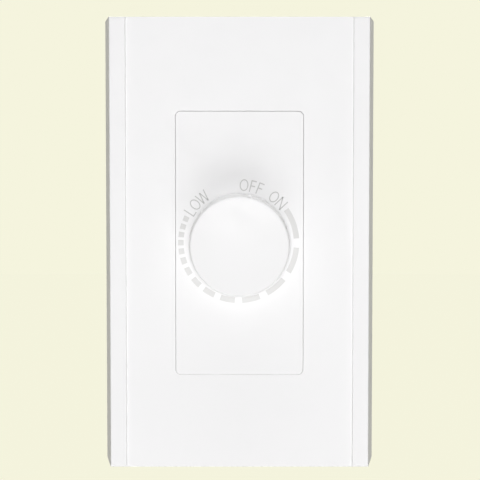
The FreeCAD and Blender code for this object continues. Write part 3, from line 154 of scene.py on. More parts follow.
# Machine screws, thirty-two threads to the inch, with slotted pan heads
THREAD_PITCH = 25.4 / 32 * MM
THREAD_CREST = 1.73 * MM
THREAD_ROOT = 1.36 * MM
TIP_RADIUS = 1.15 * MM
HEAD_RADIUS = 3.3 * MM
HEAD_HEIGHT = 2.0 * MM
HEAD_ROUND = 0.8 * MM
SLOT_WIDTH = 0.9 * MM
SLOT_DEPTH = 0.8 * MM
BOX_THREAD_START = 0.65 * MM  # behind the wall plane, under the plain neck
THREAD_SIDES = 32
ROWS_PER_PITCH = 12
CHORDS_BESIDE_SLOT = 14  # on each side
CHORDS_IN_SLOT = 4
CHORD_POINTS = 25
LAST_CHORD = math.radians(86)  # how near the outermost chord comes to the head's rim

# Marks of the ejector pins: spacing, radius, the middle of one mark, and depth
FRAME_PINS = (28 * MM, 1.8 * MM, (0.0, 0.0, 14 * MM), 0.3 * MM)
HOUSING_PINS = (30 * MM, 2.2 * MM, (15 * MM, 0.0, 0.0), 0.4 * MM)


# Meshes

def grid_quads(rows, columns, loop_rows=False, loop_columns=False):
    """Corner numbers of the quads of a grid of points, row by row; a looped side joins its ends."""
    row = np.arange(rows if loop_rows else rows - 1)[:, None]
    column = np.arange(columns if loop_columns else columns - 1)[None, :]
    next_row = (row + 1) % rows
    next_column = (column + 1) % columns
    corners = [
        row * columns + column,
        row * columns + next_column,
        next_row * columns + next_column,
        next_row * columns + column,
    ]
    return np.stack(corners, axis=-1).reshape(-1, 4)


def piece(name, points, faces, material, body, smooth=False):
    """A mesh piece at the origin that rides on a body. Its faces are turned outwards."""
    mesh = bpy.data.meshes.new(name)
    mesh.from_pydata(points.reshape(-1, 3).tolist(), [], [list(face) for face in faces])
    shell = bmesh.new()
    shell.from_mesh(mesh)
    bmesh.ops.recalc_face_normals(shell, faces=shell.faces)
    shell.to_mesh(mesh)
    shell.free()
    mesh.polygons.foreach_set("use_smooth", np.full(len(mesh.polygons), smooth))
    if smooth:
        mesh.set_sharp_from_angle(angle=SMOOTH_BELOW)
    mesh.materials.append(material)
    made = bpy.data.objects.new(name, mesh)
    bpy.context.scene.collection.objects.link(made)
    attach(made, body)
    return made


def merged(parts):
    """The points and faces of several meshes as those of one, with the corner numbers run on."""
    all_points = []
    all_faces = []
    count = 0
    for points, faces in parts:
        all_points.append(points)
        all_faces += [[corner + count for corner in face] for face in faces]
        count += len(points)
    return np.concatenate(all_points), all_faces


def closed_tube(points):
    """The faces of a tube of closed rows, with a flat cap on its first and its last row."""
    rows, columns = points.shape[:2]
    sides = grid_quads(rows, columns, loop_columns=True).tolist()
    first = list(range(columns))
    last = list(range((rows - 1) * columns, rows * columns))
    return sides + [first[::-1], last]


def arc_bands(centre, inner, outer, start, end, depth, steps):
    """Flat bands about an axis along Y: a rectangle carried along an arc, once per start and end.

    A point is x = cx + r sin a, z = cz + r cos a, with its angle a clockwise from the top. The four
    corners of the section are taken in turn at each of the steps between a band's two angles.
    """
    along = np.linspace(0, 1, steps)
    angle = np.radians(start[:, None] + (end - start)[:, None] * along[None, :])[:, :, None]
    radius = np.array([inner, outer, outer, inner])
    x = centre[0] + radius * np.sin(angle)
    z = centre[1] + radius * np.cos(angle)
    y = np.array([depth[0], depth[0], depth[1], depth[1]])
    points = np.stack(np.broadcast_arrays(x, y, z), axis=-1)
    sides = grid_quads(steps, 4, loop_columns=True)
    last = 4 * steps - 4
    one = np.concatenate([sides, [[3, 2, 1, 0]], [[last, last + 1, last + 2, last + 3]]])
    faces = one[None] + np.arange(len(start))[:, None, None] * steps * 4
    return points, faces.reshape(-1, 4)


def dash_limits():
    """Start and end angles of the dashes.

    The pitch falls from its first to its last value as a power of the share of dashes left,
    and the part of it that the dash fills falls in step.
    """
    number = np.arange(DASH_COUNT)
    left = np.clip(1 - number / PITCH_TAPER, 0, 1) ** PITCH_POWER
    pitch = LAST_PITCH + (FIRST_PITCH - LAST_PITCH) * left
    start = DASH_START + np.concatenate([[0.0], np.cumsum(pitch)[:-1]])
    length = pitch * (LAST_FILL + (FIRST_FILL - LAST_FILL) * left)
    return start, start + length


def dial_dashes(material):
    """The dashes that show the speed, printed round the knob."""
    start, end = dash_limits()
    depth = (INSERT_FRONT, INSERT_FRONT - INK_HEIGHT)
    centre = (DIAL_X, DIAL_Z)
    points, faces = arc_bands(centre, DASH_INNER, DASH_OUTER, start, end, depth, DASH_STEPS)
    return piece("dial_dashes", points, faces, material, "base")


def carbon_track(material):
    """The resistive film on the back of the wafer, open below where the terminals are."""
    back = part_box("track_wafer")[1].y
    start, end = np.array([-TRACK_REACH]), np.array([TRACK_REACH])
    depth = (back, back + TRACK_FILM)
    centre = (0.0, 0.0)
    points, faces = arc_bands(centre, TRACK_INNER, TRACK_OUTER, start, end, depth, TRACK_STEPS)
    return piece("carbon_track", points, faces, material, "base")


def solder_joints(material):
    """A fillet of solder round every pin: a quarter circle, hollow side out, turned about the pin.

    At an angle a from 0 to 90 degrees the radius is neck + (foot - neck)(1 - sin a), and the height
    over the board is the joint's height times (1 - cos a).
    """
    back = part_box("circuit_board")[1].y
    rise = np.linspace(0, np.pi / 2, SOLDER_RINGS)[:, None]
    turn = np.linspace(0, 2 * np.pi, SOLDER_SIDES, endpoint=False)[None, :]
    radius = SOLDER_NECK + (SOLDER_FOOT - SOLDER_NECK) * (1 - np.sin(rise))
    height = back + SOLDER_HEIGHT * (1 - np.cos(rise))
    round_pin = np.broadcast_arrays(radius * np.cos(turn), height, radius * np.sin(turn))
    joint = np.stack(round_pin, axis=-1)
    pins = np.array([pin for pins in SOLDERED_PINS.values() for pin in pins]) * MM
    places = np.stack([pins[:, 0], np.zeros(len(pins)), pins[:, 1]], axis=-1)
    one = closed_tube(joint)
    points, faces = merged([((joint + place).reshape(-1, 3), one) for place in places])
    return piece("solder_joints", points, faces, material, "base", smooth=True)


def copper_band(route):
    """A flat band of copper: a thin rectangle carried along straight runs, mitred where they meet.

    At a bend the half width is laid off along (n1 + n2) / (1 + n1.n2), from the runs' normals.
    """
    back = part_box("circuit_board")[1].y
    path = np.array(route) * MM
    run = np.diff(path, axis=0)
    ahead = run / np.linalg.norm(run, axis=1, keepdims=True)
    normal = np.stack([-ahead[:, 1], ahead[:, 0]], axis=1)
    before = np.concatenate([normal[:1], normal])
    after = np.concatenate([normal, normal[-1:]])
    mitre = (before + after) / (1 + np.sum(before * after, axis=1, keepdims=True))
    left = path + mitre * COPPER_WIDTH / 2
    right = path - mitre * COPPER_WIDTH / 2
    flat = np.stack([left, right, right, left], axis=1)
    depth = back + COPPER_FILM * np.array([0.0, 0.0, 1.0, 1.0])
    parts = np.broadcast_arrays(flat[..., 0], depth[None, :], flat[..., 1])
    points = np.stack(parts, axis=-1)
    return points.reshape(-1, 3), closed_tube(points)


def copper_tracks(material):
    """The printed copper on the solder side of the board, route by route, in one mesh."""
    points, faces = merged([copper_band(route) for route in COPPER_ROUTES.values()])
    return piece("copper_tracks", points, faces, material, "base")


def letter_strokes(letter):
    """The straight strokes of a letter as (from, to) pairs, in cap heights about its middle."""
    narrow = 0.21
    wide = 0.29
    stem = ((-narrow, -0.5), (-narrow, 0.5))
    strokes = {
        "F": [stem, ((-narrow, 0.47), (narrow, 0.47)), ((-narrow, 0.03), (narrow * 0.8, 0.03))],
        "N": [
            ((-wide, -0.5), (-wide, 0.5)),
            ((-wide, 0.47), (wide, -0.47)),
            ((wide, -0.5), (wide, 0.5)),
        ],
        "L": [stem, ((-narrow, -0.47), (narrow, -0.47))],
        "W": [
            ((-0.44, 0.5), (-0.22, -0.48)),
            ((-0.22, -0.48), (0.0, 0.46)),
            ((0.0, 0.46), (0.22, -0.48)),
            ((0.22, -0.48), (0.44, 0.5)),
        ],
    }
    return np.array(strokes[letter]) * CAP_HEIGHT


def on_dial(flat, clockwise, layer):
    """Flat letter points set on the dial, their tops away from the knob.

    The letter's middle lies on the word circle. layer is 0 on the insert and 1 on the ink's front.
    """
    angle = math.radians(clockwise)
    outward = np.array([math.sin(angle), 0.0, math.cos(angle)])
    rightward = np.array([math.cos(angle), 0.0, -math.sin(angle)])
    centre = outward * WORD_RADIUS + np.array([DIAL_X, INSERT_FRONT, DIAL_Z])
    into = np.array([0.0, -INK_HEIGHT, 0.0])
    right, up = flat[..., :1], flat[..., 1:]
    return centre + right * rightward + up * outward + np.asarray(layer)[..., None] * into


def stroke_blocks(ends, clockwise):
    """Straight ink strokes: each is a thin block, half the stroke's width to each side of its line.

    Its eight points are the four corners on the insert and the same four on the ink's front.
    """
    line = ends[:, 1] - ends[:, 0]
    ahead = line / np.linalg.norm(line, axis=1, keepdims=True)
    aside = np.stack([-ahead[:, 1], ahead[:, 0]], axis=1) * LETTER_STROKE / 2
    near, far = ends[:, 0], ends[:, 1]
    flat = np.stack([near - aside, far - aside, far + aside, near + aside], axis=1)
    both = np.stack([flat, flat], axis=1)
    layer = np.broadcast_to(np.array([0.0, 1.0])[None, :, None], both.shape[:3])
    points = on_dial(both, clockwise, layer).reshape(-1, 3)
    sides = np.array([[0, 1, 5, 4], [1, 2, 6, 5], [2, 3, 7, 6], [3, 0, 4, 7]])
    block = np.concatenate([sides, [[3, 2, 1, 0]], [[4, 5, 6, 7]]])
    faces = (block[None] + np.arange(len(ends))[:, None, None] * 8).reshape(-1, 4)
    return points, faces


def letter_ring(clockwise):
    """The letter O: a flat rectangle of ink carried round an ellipse as tall as the capitals."""
    turn = np.linspace(0, 2 * np.pi, ROUND_LETTER_STEPS, endpoint=False)
    half = np.array(ROUND_LETTER_HALF) * CAP_HEIGHT
    inset = np.array([0.0, 0.0, LETTER_STROKE, LETTER_STROKE])
    layer = np.array([0.0, 1.0, 1.0, 0.0])
    reach = half[None, :] - inset[:, None]
    circle = np.stack([np.sin(turn), np.cos(turn)], axis=-1)
    flat = circle[:, None, :] * reach[None, :, :]
    points = on_dial(flat, clockwise, np.broadcast_to(layer, flat.shape[:2]))
    faces = grid_quads(ROUND_LETTER_STEPS, 4, loop_rows=True, loop_columns=True)
    return points.reshape(-1, 3), faces


def dial_words(material):
    """The words OFF, ON and LOW, letter by letter, in one mesh."""
    letters = []
    for word, angles in DIAL_WORDS.items():
        for letter, clockwise in zip(word, angles):
            if letter == "O":
                letters.append(letter_ring(clockwise))
            else:
                letters.append(stroke_blocks(letter_strokes(letter), clockwise))
    points, faces = merged(letters)
    return piece("dial_words", points, faces, material, "base")


def pan_head(front, x, z):
    """A slotted pan head, laid out in chords across it that run along the slot.

    The front falls back from flat by a quarter circle at the rim, and no chord inside the slot
    stands before the slot's floor. A chord runs over the front and comes back along the seat.
    """
    half_slot = SLOT_WIDTH / 2
    lean = np.linspace(math.asin(half_slot / HEAD_RADIUS), LAST_CHORD, CHORDS_BESIDE_SLOT)
    beside = HEAD_RADIUS * np.sin(lean)
    inside = np.linspace(-half_slot, half_slot, CHORDS_IN_SLOT)
    level = np.concatenate([-beside[::-1], inside, beside])
    slotted = np.concatenate([np.zeros_like(beside), np.ones_like(inside), np.zeros_like(beside)])
    chord = np.sqrt(HEAD_RADIUS**2 - level**2)
    across = np.sin(np.linspace(-np.pi / 2, np.pi / 2, CHORD_POINTS))
    along = chord[:, None] * across[None, :]
    past = np.clip(np.hypot(along, level[:, None]) - (HEAD_RADIUS - HEAD_ROUND), 0, HEAD_ROUND)
    fall = HEAD_ROUND - np.sqrt(HEAD_ROUND**2 - past**2)
    fall = np.maximum(fall, slotted[:, None] * SLOT_DEPTH)
    over = np.concatenate([along, along[:, ::-1]], axis=1)
    depth = np.concatenate([fall, np.full_like(fall, HEAD_HEIGHT)], axis=1)
    points = np.stack(np.broadcast_arrays(x + over, front + depth, z + level[:, None]), axis=-1)
    return points.reshape(-1, 3), closed_tube(points)


def screw_shank(under_head, thread_start, tip, x, z):
    """A screw's shank: rings along its axis, on which the thread is a ridge that turns.

    The ridge rises from root to crest as a triangle wave of distance over pitch less turn, cut
    flat at both, and fades in at the thread's start. The last pitch narrows to the tip.
    """
    rows = round((tip - under_head) / THREAD_PITCH * ROWS_PER_PITCH)
    along = np.linspace(under_head, tip, rows)[:, None]
    turn = np.linspace(0, 1, THREAD_SIDES, endpoint=False)[None, :]
    wave = 1 - np.abs(2 * (((along - thread_start) / THREAD_PITCH - turn) % 1) - 1)
    ridge = np.clip(1.25 * wave - 0.15, 0, 1)
    lead_in = np.clip((along - thread_start) / THREAD_PITCH, 0, 1)
    radius = THREAD_ROOT + (THREAD_CREST - THREAD_ROOT) * ridge * lead_in
    narrowed = TIP_RADIUS + (THREAD_CREST - TIP_RADIUS) * (tip - along) / THREAD_PITCH
    radius = np.minimum(radius, narrowed)
    angle = 2 * np.pi * turn
    parts = np.broadcast_arrays(x + radius * np.cos(angle), along, z + radius * np.sin(angle))
    points = np.stack(parts, axis=-1)
    return points.reshape(-1, 3), closed_tube(points)


def machine_screws(name, node, neck, material):
    """The upper and the lower screw of a pair, in place of the plain ones; neck is unthreaded."""
    low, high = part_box(node)
    reach = high.z - HEAD_RADIUS
    seat = low.y + HEAD_HEIGHT
    parts = []
    for z in (-reach, reach):
        parts.append(pan_head(low.y, 0.0, z))
        parts.append(screw_shank(seat - HEAD_HEIGHT / 4, seat + neck, high.y, 0.0, z))
    points, faces = merged(parts)
    made = piece(name, points, faces, material, "base", smooth=True)
    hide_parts(node)


# Materials

def add(tree, kind, values=None, **settings):
    """A node of this kind, with its named inputs and its settings."""
    made = tree.nodes.new(kind)
    for name, value in settings.items():
        setattr(made, name, value)
    for name, value in (values or {}).items():
        made.inputs[name].default_value = value
    return made


def join(tree, source, target):
    """A link from a (node, output) to a (node, input)."""
    tree.links.new(source[0].outputs[source[1]], target[0].inputs[target[1]])


def new_group(name, inputs, outputs):
    """An empty shader group with its sockets, and the nodes for what goes in and comes out."""
    group = bpy.data.node_groups.new(name, "ShaderNodeTree")
    for label, kind, value in inputs:
        socket = group.interface.new_socket(label, in_out="INPUT", socket_type=kind)
        if value is not None:
            socket.default_value = value
    for label, kind in outputs:
        group.interface.new_socket(label, in_out="OUTPUT", socket_type=kind)
    return group, group.nodes.new("NodeGroupInput"), group.nodes.new("NodeGroupOutput")


def make_moulded_skin():
    """Group: spark-eroded mould grain as a height, slow flow shading, and finger smudges."""
    group, given, out = new_group(
        "moulded_skin",
        [
            ("Vector", "NodeSocketVector", None),
            ("Grain Scale", "NodeSocketFloat", 5200.0),
            ("Flow Scale", "NodeSocketFloat", 55.0),
        ],
        [
            ("Height", "NodeSocketFloat"),
            ("Flow", "NodeSocketFloat"),
            ("Smudge", "NodeSocketFloat"),
        ],
    )
    fine = add(group, "ShaderNodeTexNoise", {"Detail": 3.0, "Roughness": 0.6})
    pits = add(group, "ShaderNodeTexVoronoi", feature="SMOOTH_F1")
    both = add(group, "ShaderNodeMath", operation="ADD")
    flow = add(group, "ShaderNodeTexNoise", {"Detail": 2.0, "Distortion": 0.8})
    smudge = add(group, "ShaderNodeTexNoise", {"Scale": 140.0, "Detail": 5.0, "Distortion": 1.6})
    spread = add(group, "ShaderNodeMapRange", {"From Min": 0.42, "From Max": 0.68})
    for texture, scale in ((fine, "Grain Scale"), (pits, "Grain Scale"), (flow, "Flow Scale")):
        join(group, (given, "Vector"), (texture, "Vector"))
        join(group, (given, scale), (texture, "Scale"))
    join(group, (given, "Vector"), (smudge, "Vector"))
    join(group, (fine, "Fac"), (both, 0))
    join(group, (pits, "Distance"), (both, 1))
    join(group, (both, 0), (out, "Height"))
    join(group, (flow, "Fac"), (out, "Flow"))
    join(group, (smudge, "Fac"), (spread, "Value"))
    join(group, (spread, "Result"), (out, "Smudge"))
    return group


def make_metal_grain():
    """Group: the drawn or rolled lines of a metal as a height and a shade, and its dull stains."""
    group, given, out = new_group(
        "metal_grain",
        [
            ("Vector", "NodeSocketVector", None),
            ("Line Scale", "NodeSocketFloat", 3000.0),
            ("Stain Scale", "NodeSocketFloat", 160.0),
        ],
        [
            ("Height", "NodeSocketFloat"),
            ("Line", "NodeSocketFloat"),
            ("Stain", "NodeSocketFloat"),
        ],
    )
    lines = add(group, "ShaderNodeTexNoise", {"Detail": 4.0, "Roughness": 0.7})
    stain = add(group, "ShaderNodeTexNoise", {"Detail": 6.0, "Roughness": 0.65, "Distortion": 0.6})
    spread = add(group, "ShaderNodeMapRange", {"From Min": 0.4, "From Max": 0.7})
    join(group, (given, "Vector"), (lines, "Vector"))
    join(group, (given, "Line Scale"), (lines, "Scale"))
    join(group, (given, "Vector"), (stain, "Vector"))
    join(group, (given, "Stain Scale"), (stain, "Scale"))
    join(group, (lines, "Fac"), (out, "Height"))
    join(group, (lines, "Fac"), (out, "Line"))
    join(group, (stain, "Fac"), (spread, "Value"))
    join(group, (spread, "Result"), (out, "Stain"))
    return group


def make_ejector_marks():
    """Group: the round marks that a mould's ejector pins leave, on a square grid in X and Z."""
    group, given, out = new_group(
        "ejector_marks",
        [
            ("Vector", "NodeSocketVector", None),
            ("Pins Per Metre", "NodeSocketFloat", 33.0),
            ("Radius", "NodeSocketFloat", 0.07),
        ],
        [("Mark", "NodeSocketFloat")],
    )
    pins = add(group, "ShaderNodeTexVoronoi", {"Randomness": 0.0})
    within = add(group, "ShaderNodeMath", operation="SUBTRACT")
    sharp = add(group, "ShaderNodeMath", {1: 60.0}, operation="MULTIPLY", use_clamp=True)
    join(group, (given, "Vector"), (pins, "Vector"))
    join(group, (given, "Pins Per Metre"), (pins, "Scale"))
    join(group, (given, "Radius"), (within, 0))
    join(group, (pins, "Distance"), (within, 1))
    join(group, (within, 0), (sharp, 0))
    join(group, (sharp, 0), (out, "Mark"))
    return group


MOULDED_SKIN = make_moulded_skin()
METAL_GRAIN = make_metal_grain()
EJECTOR_MARKS = make_ejector_marks()


def blank_material(name):
    """A material with only its surface shader, and that shader."""
    material = bpy.data.materials.new(name)
    material.use_nodes = True
    tree = material.node_tree
    tree.nodes.clear()
    out = tree.nodes.new("ShaderNodeOutputMaterial")
    surface = tree.nodes.new("ShaderNodeBsdfPrincipled")
    tree.links.new(surface.outputs["BSDF"], out.inputs["Surface"])
    return material, tree, surface


def placed_vector(tree, centre=(0.0, 0.0, 0.0), stretch=(1.0, 1.0, 1.0)):
    """Object coordinates, centred on a piece and stretched along its axes."""
    where = add(tree, "ShaderNodeTexCoord")
    mapping = add(tree, "ShaderNodeMapping", {"Scale": stretch})
    mapping.inputs["Location"].default_value = [-c * s for c, s in zip(centre, stretch)]
    join(tree, (where, "Object"), (mapping, "Vector"))
    return mapping


def shade_between(tree, mask, dark, light):
    """A colour that runs from dark to light with a (node, output) mask."""
    mix = add(tree, "ShaderNodeMix", data_type="RGBA")
    tree.links.new(mask[0].outputs[mask[1]], mix.inputs["Factor"])
    colours = {socket.name: socket for socket in mix.inputs if socket.type == "RGBA"}
    colours["A"].default_value = (*dark, 1.0)
    colours["B"].default_value = (*light, 1.0)
    return next(socket for socket in mix.outputs if socket.type == "RGBA")


def value_between(tree, mask, low, high):
    """A value that runs from low to high with a (node, output) mask."""
    spread = add(tree, "ShaderNodeMapRange", {"To Min": low, "To Max": high})
    join(tree, mask, (spread, "Value"))
    return spread.outputs["Result"]


def moulding(name, dark, light, rough, grain_scale=5200.0, grain=0.12, specular=0.45):
    """A moulded plastic: flow shading in its colour, smudged gloss and the mould's fine grain."""
    material, tree, surface = blank_material(name)
    skin = add(tree, "ShaderNodeGroup", node_tree=MOULDED_SKIN)
    skin.inputs["Grain Scale"].default_value = grain_scale
    join(tree, (placed_vector(tree), "Vector"), (skin, "Vector"))
    tree.links.new(shade_between(tree, (skin, "Flow"), dark, light), surface.inputs["Base Color"])
    tree.links.new(value_between(tree, (skin, "Smudge"), *rough), surface.inputs["Roughness"])
    bump = add(tree, "ShaderNodeBump", {"Strength": grain, "Distance": GRAIN_DEPTH})
    join(tree, (skin, "Height"), (bump, "Height"))
    join(tree, (bump, "Normal"), (surface, "Normal"))
    surface.inputs["Specular IOR Level"].default_value = specular
    return material


def ejected(material, spacing, radius, centre, depth):
    """Adds the marks of ejector pins to a moulding, as shallow round steps over its grain."""
    tree = material.node_tree
    marks = add(tree, "ShaderNodeGroup", node_tree=EJECTOR_MARKS)
    marks.inputs["Pins Per Metre"].default_value = 1 / spacing
    marks.inputs["Radius"].default_value = radius / spacing
    flat = placed_vector(tree, centre, stretch=(1.0, 0.0, 1.0))
    join(tree, (flat, "Vector"), (marks, "Vector"))
    step = add(tree, "ShaderNodeBump", {"Strength": 1.0, "Distance": depth})
    surface = next(node for node in tree.nodes if node.type == "BSDF_PRINCIPLED")
    grain = next(node for node in tree.nodes if node.type == "BUMP" and node != step)
    join(tree, (marks, "Mark"), (step, "Height"))
    join(tree, (grain, "Normal"), (step, "Normal"))
    join(tree, (step, "Normal"), (surface, "Normal"))
    return material


def ringed(material):
    """Adds colour rings to the coat of the two resistors, which stand side by side along Z.

    The share along a body is (z + lean * x - start) / length, where the lean takes up the
    difference in height between the left and the right resistor.
    """
    low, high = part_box("resistors")
    left_start = high.z - RESISTOR_LENGTH
    lean = (left_start - low.z) / (high.x - low.x)
    start = (left_start + low.z) / 2
    tree = material.node_tree
    along = add(tree, "ShaderNodeVectorMath", {1: (lean, 0.0, 1.0)}, operation="DOT_PRODUCT")
    share = add(tree, "ShaderNodeMapRange", {"From Min": start, "From Max": start + RESISTOR_LENGTH})
    rings = add(tree, "ShaderNodeValToRGB")
    rings.color_ramp.interpolation = "CONSTANT"
    rings.color_ramp.elements[0].color = (0.0, 0.0, 0.0, 0.0)
    rings.color_ramp.elements.remove(rings.color_ramp.elements[1])
    for place, colour in RING_COLOURS.items():
        rings.color_ramp.elements.new(place).color = (*colour, 1.0)
        rings.color_ramp.elements.new(place + RING_SHARE).color = (0.0, 0.0, 0.0, 0.0)
    coat = next(node for node in tree.nodes if node.type == "MIX")
    surface = next(node for node in tree.nodes if node.type == "BSDF_PRINCIPLED")
    painted = add(tree, "ShaderNodeMix", data_type="RGBA")
    colours = {socket.name: socket for socket in painted.inputs if socket.type == "RGBA"}
    join(tree, (placed_vector(tree), "Vector"), (along, 0))
    join(tree, (along, "Value"), (share, "Value"))
    join(tree, (share, "Result"), (rings, "Fac"))
    tree.links.new(rings.outputs["Alpha"], painted.inputs["Factor"])
    tree.links.new(next(out for out in coat.outputs if out.type == "RGBA"), colours["A"])
    tree.links.new(rings.outputs["Color"], colours["B"])
    mixed = next(out for out in painted.outputs if out.type == "RGBA")
    tree.links.new(mixed, surface.inputs["Base Color"])
    return material


def metal(name, dull, bright, rough, stretch=(1.0, 1.0, 1.0), line_scale=3000.0, lines=0.15):
    """A metal: lines along its drawn direction, and stains that dull its colour and gloss."""
    material, tree, surface = blank_material(name)
    grain = add(tree, "ShaderNodeGroup", node_tree=METAL_GRAIN)
    grain.inputs["Line Scale"].default_value = line_scale
    join(tree, (placed_vector(tree, stretch=stretch), "Vector"), (grain, "Vector"))
    tree.links.new(shade_between(tree, (grain, "Stain"), bright, dull), surface.inputs["Base Color"])
    tree.links.new(value_between(tree, (grain, "Line"), *rough), surface.inputs["Roughness"])
    bump = add(tree, "ShaderNodeBump", {"Strength": lines, "Distance": GRAIN_DEPTH})
    join(tree, (grain, "Height"), (bump, "Height"))
    join(tree, (bump, "Normal"), (surface, "Normal"))
    surface.inputs["Metallic"].default_value = 1.0
    return material


def dial_ink(name, dark, light):
    """Pad-printed ink: a flat grey with slightly uneven cover and a dry, matt surface."""
    return moulding(name, dark, light, (0.5, 0.62), grain_scale=9000.0, grain=0.06, specular=0.3)


def dress(material, *nodes):
    """Puts a material on CAD nodes."""
    for name in nodes:
        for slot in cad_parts[name].material_slots:
            slot.material = material


def dress_all(zinc):
    """The finish of every CAD node that shows as it is."""
    white = ((0.905, 0.905, 0.91), (0.925, 0.925, 0.93), (0.42, 0.5))
    knob_white = ((0.90, 0.90, 0.905), (0.915, 0.915, 0.92), (0.36, 0.44))
    dress(moulding("cover_white", *white, specular=0.16), "cover_plate")
    dress(moulding("insert_white", *white, specular=0.16), "face_insert")
    dress(moulding("knob_white", *knob_white, specular=0.2), "knob")
    frame_white = moulding("frame_white", (0.74, 0.74, 0.72), (0.82, 0.82, 0.80), (0.5, 0.6))
    dress(ejected(frame_white, *FRAME_PINS), "sub_plate")
    housing_shades = ((0.034, 0.034, 0.036), (0.052, 0.052, 0.055), (0.36, 0.52))
    housing = moulding("housing_grey", *housing_shades, grain_scale=3200.0, grain=0.35)
    dress(ejected(housing, *HOUSING_PINS), "rear_housing")
    fibre_shades = ((0.16, 0.05, 0.035), (0.26, 0.09, 0.06), (0.7, 0.85))
    fibre = moulding("fibre_red", *fibre_shades, grain_scale=2400.0, grain=0.6, specular=0.25)
    dress(fibre, "screw_retainers")
    for name, dark, light, rough, nodes in (
        ("wafer_brown", (0.16, 0.075, 0.03), (0.24, 0.12, 0.05), (0.4, 0.55), ["track_wafer"]),
        ("switch_brown", (0.03, 0.02, 0.016), (0.05, 0.034, 0.026), (0.35, 0.5),
         ["switch_base", "switch_cam"]),
        ("carrier_cream", (0.62, 0.58, 0.47), (0.70, 0.66, 0.55), (0.4, 0.5), ["wiper_carrier"]),
        ("board_tan", (0.30, 0.19, 0.08), (0.40, 0.27, 0.12), (0.45, 0.6), ["circuit_board"]),
        ("epoxy_black", (0.012, 0.012, 0.012), (0.02, 0.02, 0.02), (0.4, 0.55), ["triac_body"]),
        ("pad_grey", (0.5, 0.5, 0.47), (0.6, 0.6, 0.57), (0.6, 0.75), ["triac_pad"]),
        ("ferrite_grey", (0.03, 0.03, 0.033), (0.05, 0.05, 0.055), (0.5, 0.7), ["choke_core"]),
        ("capacitor_red", (0.36, 0.03, 0.015), (0.46, 0.05, 0.025), (0.25, 0.35),
         ["film_capacitors"]),
        ("diode_orange", (0.5, 0.12, 0.05), (0.62, 0.18, 0.08), (0.1, 0.16), ["trigger_diode"]),
    ):
        dress(moulding(name, dark, light, rough), *nodes)
    resistor_tan = moulding("resistor_tan", (0.52, 0.36, 0.2), (0.62, 0.45, 0.27), (0.3, 0.4))
    dress(ringed(resistor_tan), "resistors")
    strap_shades = ((0.62, 0.63, 0.65), (0.80, 0.81, 0.82), (0.30, 0.48))
    dress(metal("strap_aluminium", *strap_shades, stretch=(1.0, 1.0, 0.05)), "mounting_strap")
    dress(zinc, "housing_screws", "pot_case", "lock_washer", "shaft_ring", "knob_clip")
    for name, dull, bright, rough, nodes in (
        ("turned_brass", (0.50, 0.40, 0.18), (0.72, 0.58, 0.28), (0.22, 0.36),
         ["pot_bushing", "pot_nut"]),
        ("turned_aluminium", (0.64, 0.64, 0.65), (0.80, 0.80, 0.81), (0.22, 0.36),
         ["shaft", "triac_rivet"]),
        ("spring_brass", (0.52, 0.36, 0.12), (0.76, 0.56, 0.22), (0.2, 0.34),
         ["pot_terminals", "wiper_spring", "contact_leaf", "fixed_contact"]),
        ("tinned_copper", (0.56, 0.56, 0.57), (0.76, 0.76, 0.77), (0.22, 0.36),
         ["triac_tab", "component_wires"]),
        ("winding_copper", (0.40, 0.11, 0.03), (0.60, 0.20, 0.07), (0.2, 0.3), ["choke_winding"]),
    ):
        dress(metal(name, dull, bright, rough), *nodes)


# Stage

def rays_that_see_backdrop(tree):
    """One for rays from the camera, mirrors and glass, and nought for the light on the object."""
    path = add(tree, "ShaderNodeLightPath")
    first = add(tree, "ShaderNodeMath", operation="MAXIMUM")
    both = add(tree, "ShaderNodeMath", operation="MAXIMUM")
    join(tree, (path, "Is Camera Ray"), (first, 0))
    join(tree, (path, "Is Glossy Ray"), (first, 1))
    join(tree, (first, 0), (both, 0))
    join(tree, (path, "Is Transmission Ray"), (both, 1))
    return both


def make_world():
    """Cream to look at, and a weaker neutral light on the object."""
    world = bpy.data.worlds.new("studio")
    bpy.context.scene.world = world
    world.use_nodes = True
    tree = world.node_tree
    tree.nodes.clear()
    seen = add(tree, "ShaderNodeBackground", {"Color": (*CREAM, 1.0), "Strength": 1.0})
    light = add(tree, "ShaderNodeBackground", {"Color": (*LAMP_WHITE, 1.0), "Strength": AMBIENT})
    mix = add(tree, "ShaderNodeMixShader")
    out = add(tree, "ShaderNodeOutputWorld")
    join(tree, (rays_that_see_backdrop(tree), 0), (mix, 0))
    join(tree, (light, 0), (mix, 1))
    join(tree, (seen, 0), (mix, 2))
    join(tree, (mix, 0), (out, 0))


def make_floor():
    """A wide pale floor under the plate, which keeps the object's shadow."""
    material = bpy.data.materials.new("floor_cream")
    material.use_nodes = True
    tree = material.node_tree
    tree.nodes.clear()
    dull = add(tree, "ShaderNodeBsdfDiffuse", {"Color": (*FLOOR_PALE, 1.0)})
    glow = add(tree, "ShaderNodeEmission", {"Color": (*CREAM, 1.0), "Strength": FLOOR_STRENGTH})
    share = add(tree, "ShaderNodeMath", {1: FLOOR_GLOW}, operation="MULTIPLY")
    mix = add(tree, "ShaderNodeMixShader")
    out = add(tree, "ShaderNodeOutputMaterial")
    join(tree, (rays_that_see_backdrop(tree), 0), (share, 0))
    join(tree, (share, 0), (mix, 0))
    join(tree, (dull, 0), (mix, 1))
    join(tree, (glow, 0), (mix, 2))
    join(tree, (mix, 0), (out, 0))
    half = FLOOR_SIZE / 2
    level = PLATE_FOOT - FLOOR_DROP
    around = ((-half, -half), (half, -half), (half, half), (-half, half))
    corners = [(x, y, level) for x, y in around]
    mesh = bpy.data.meshes.new("floor")
    mesh.from_pydata(corners, [], [(0, 1, 2, 3)])
    mesh.materials.append(material)
    floor = bpy.data.objects.new("floor", mesh)
    bpy.context.scene.collection.objects.link(floor)


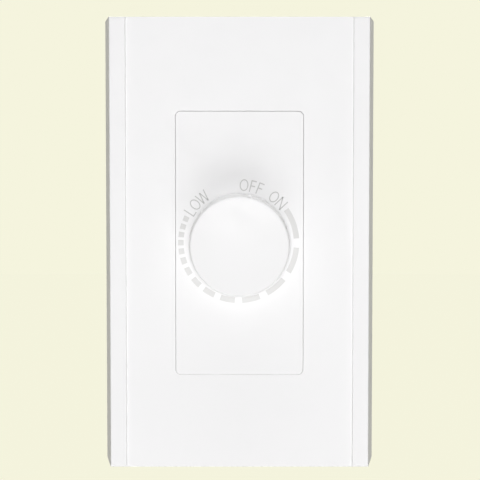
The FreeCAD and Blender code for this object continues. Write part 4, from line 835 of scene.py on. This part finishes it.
def lamp(name, place, width, height, power):
    """A soft rectangular lamp that faces the origin."""
    data = bpy.data.lights.new(name, "AREA")
    data.shape = "RECTANGLE"
    data.size = width
    data.size_y = height
    data.energy = power
    data.color = LAMP_WHITE
    made = bpy.data.objects.new(name, data)
    made.location = place
    toward = np.zeros(3) - np.array(place)
    flat = math.hypot(toward[0], toward[1])
    made.rotation_euler = (math.atan2(flat, -toward[2]), 0.0, math.atan2(-toward[0], toward[1]))
    bpy.context.scene.collection.objects.link(made)


def make_lamps():
    """A small lamp by the camera, a broad low one that throws the knob's shadow upwards, one above
    and one behind."""
    for name, (place, width, height, power) in LAMPS.items():
        lamp(name, place, width, height, power)


def make_camera():
    """A camera before the plate, a little above its middle and tilted down to it."""
    data = bpy.data.cameras.new("photo_camera")
    data.sensor_width = 36.0
    data.lens = CAMERA_LENS_MM
    data.shift_y = CAMERA_SHIFT_UP
    data.clip_start = 0.01
    data.clip_end = 100.0
    camera = bpy.data.objects.new("photo_camera", data)
    camera.location = (CAMERA_SIDE, -CAMERA_DISTANCE, CAMERA_HEIGHT)
    camera.rotation_euler = (math.pi / 2 - CAMERA_TILT, 0.0, 0.0)
    bpy.context.scene.collection.objects.link(camera)
    bpy.context.scene.camera = camera


zinc_plate = metal("zinc_plate", (0.50, 0.50, 0.47), (0.70, 0.70, 0.68), (0.26, 0.42))
dress_all(zinc_plate)
box_neck = BOX_THREAD_START - (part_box("box_screws")[0].y + HEAD_HEIGHT)
machine_screws("threaded_box_screws", "box_screws", box_neck, zinc_plate)
machine_screws("threaded_plate_screws", "plate_screws", 0.0, zinc_plate)
dial_dashes(dial_ink("dash_ink", (0.70, 0.70, 0.695), (0.75, 0.75, 0.745)))
dial_words(dial_ink("word_ink", (0.58, 0.58, 0.575), (0.64, 0.64, 0.635)))
solder_joints(metal("solder_tin", (0.55, 0.55, 0.55), (0.76, 0.76, 0.77), (0.16, 0.34)))
copper_tracks(metal("lacquered_copper", (0.44, 0.19, 0.07), (0.60, 0.29, 0.12), (0.26, 0.4)))
carbon_track(moulding("carbon_film", (0.012, 0.012, 0.012), (0.022, 0.022, 0.022), (0.6, 0.75)))
make_world()
make_floor()
make_lamps()
make_camera()
bpy.context.scene.view_settings.view_transform = "Standard"
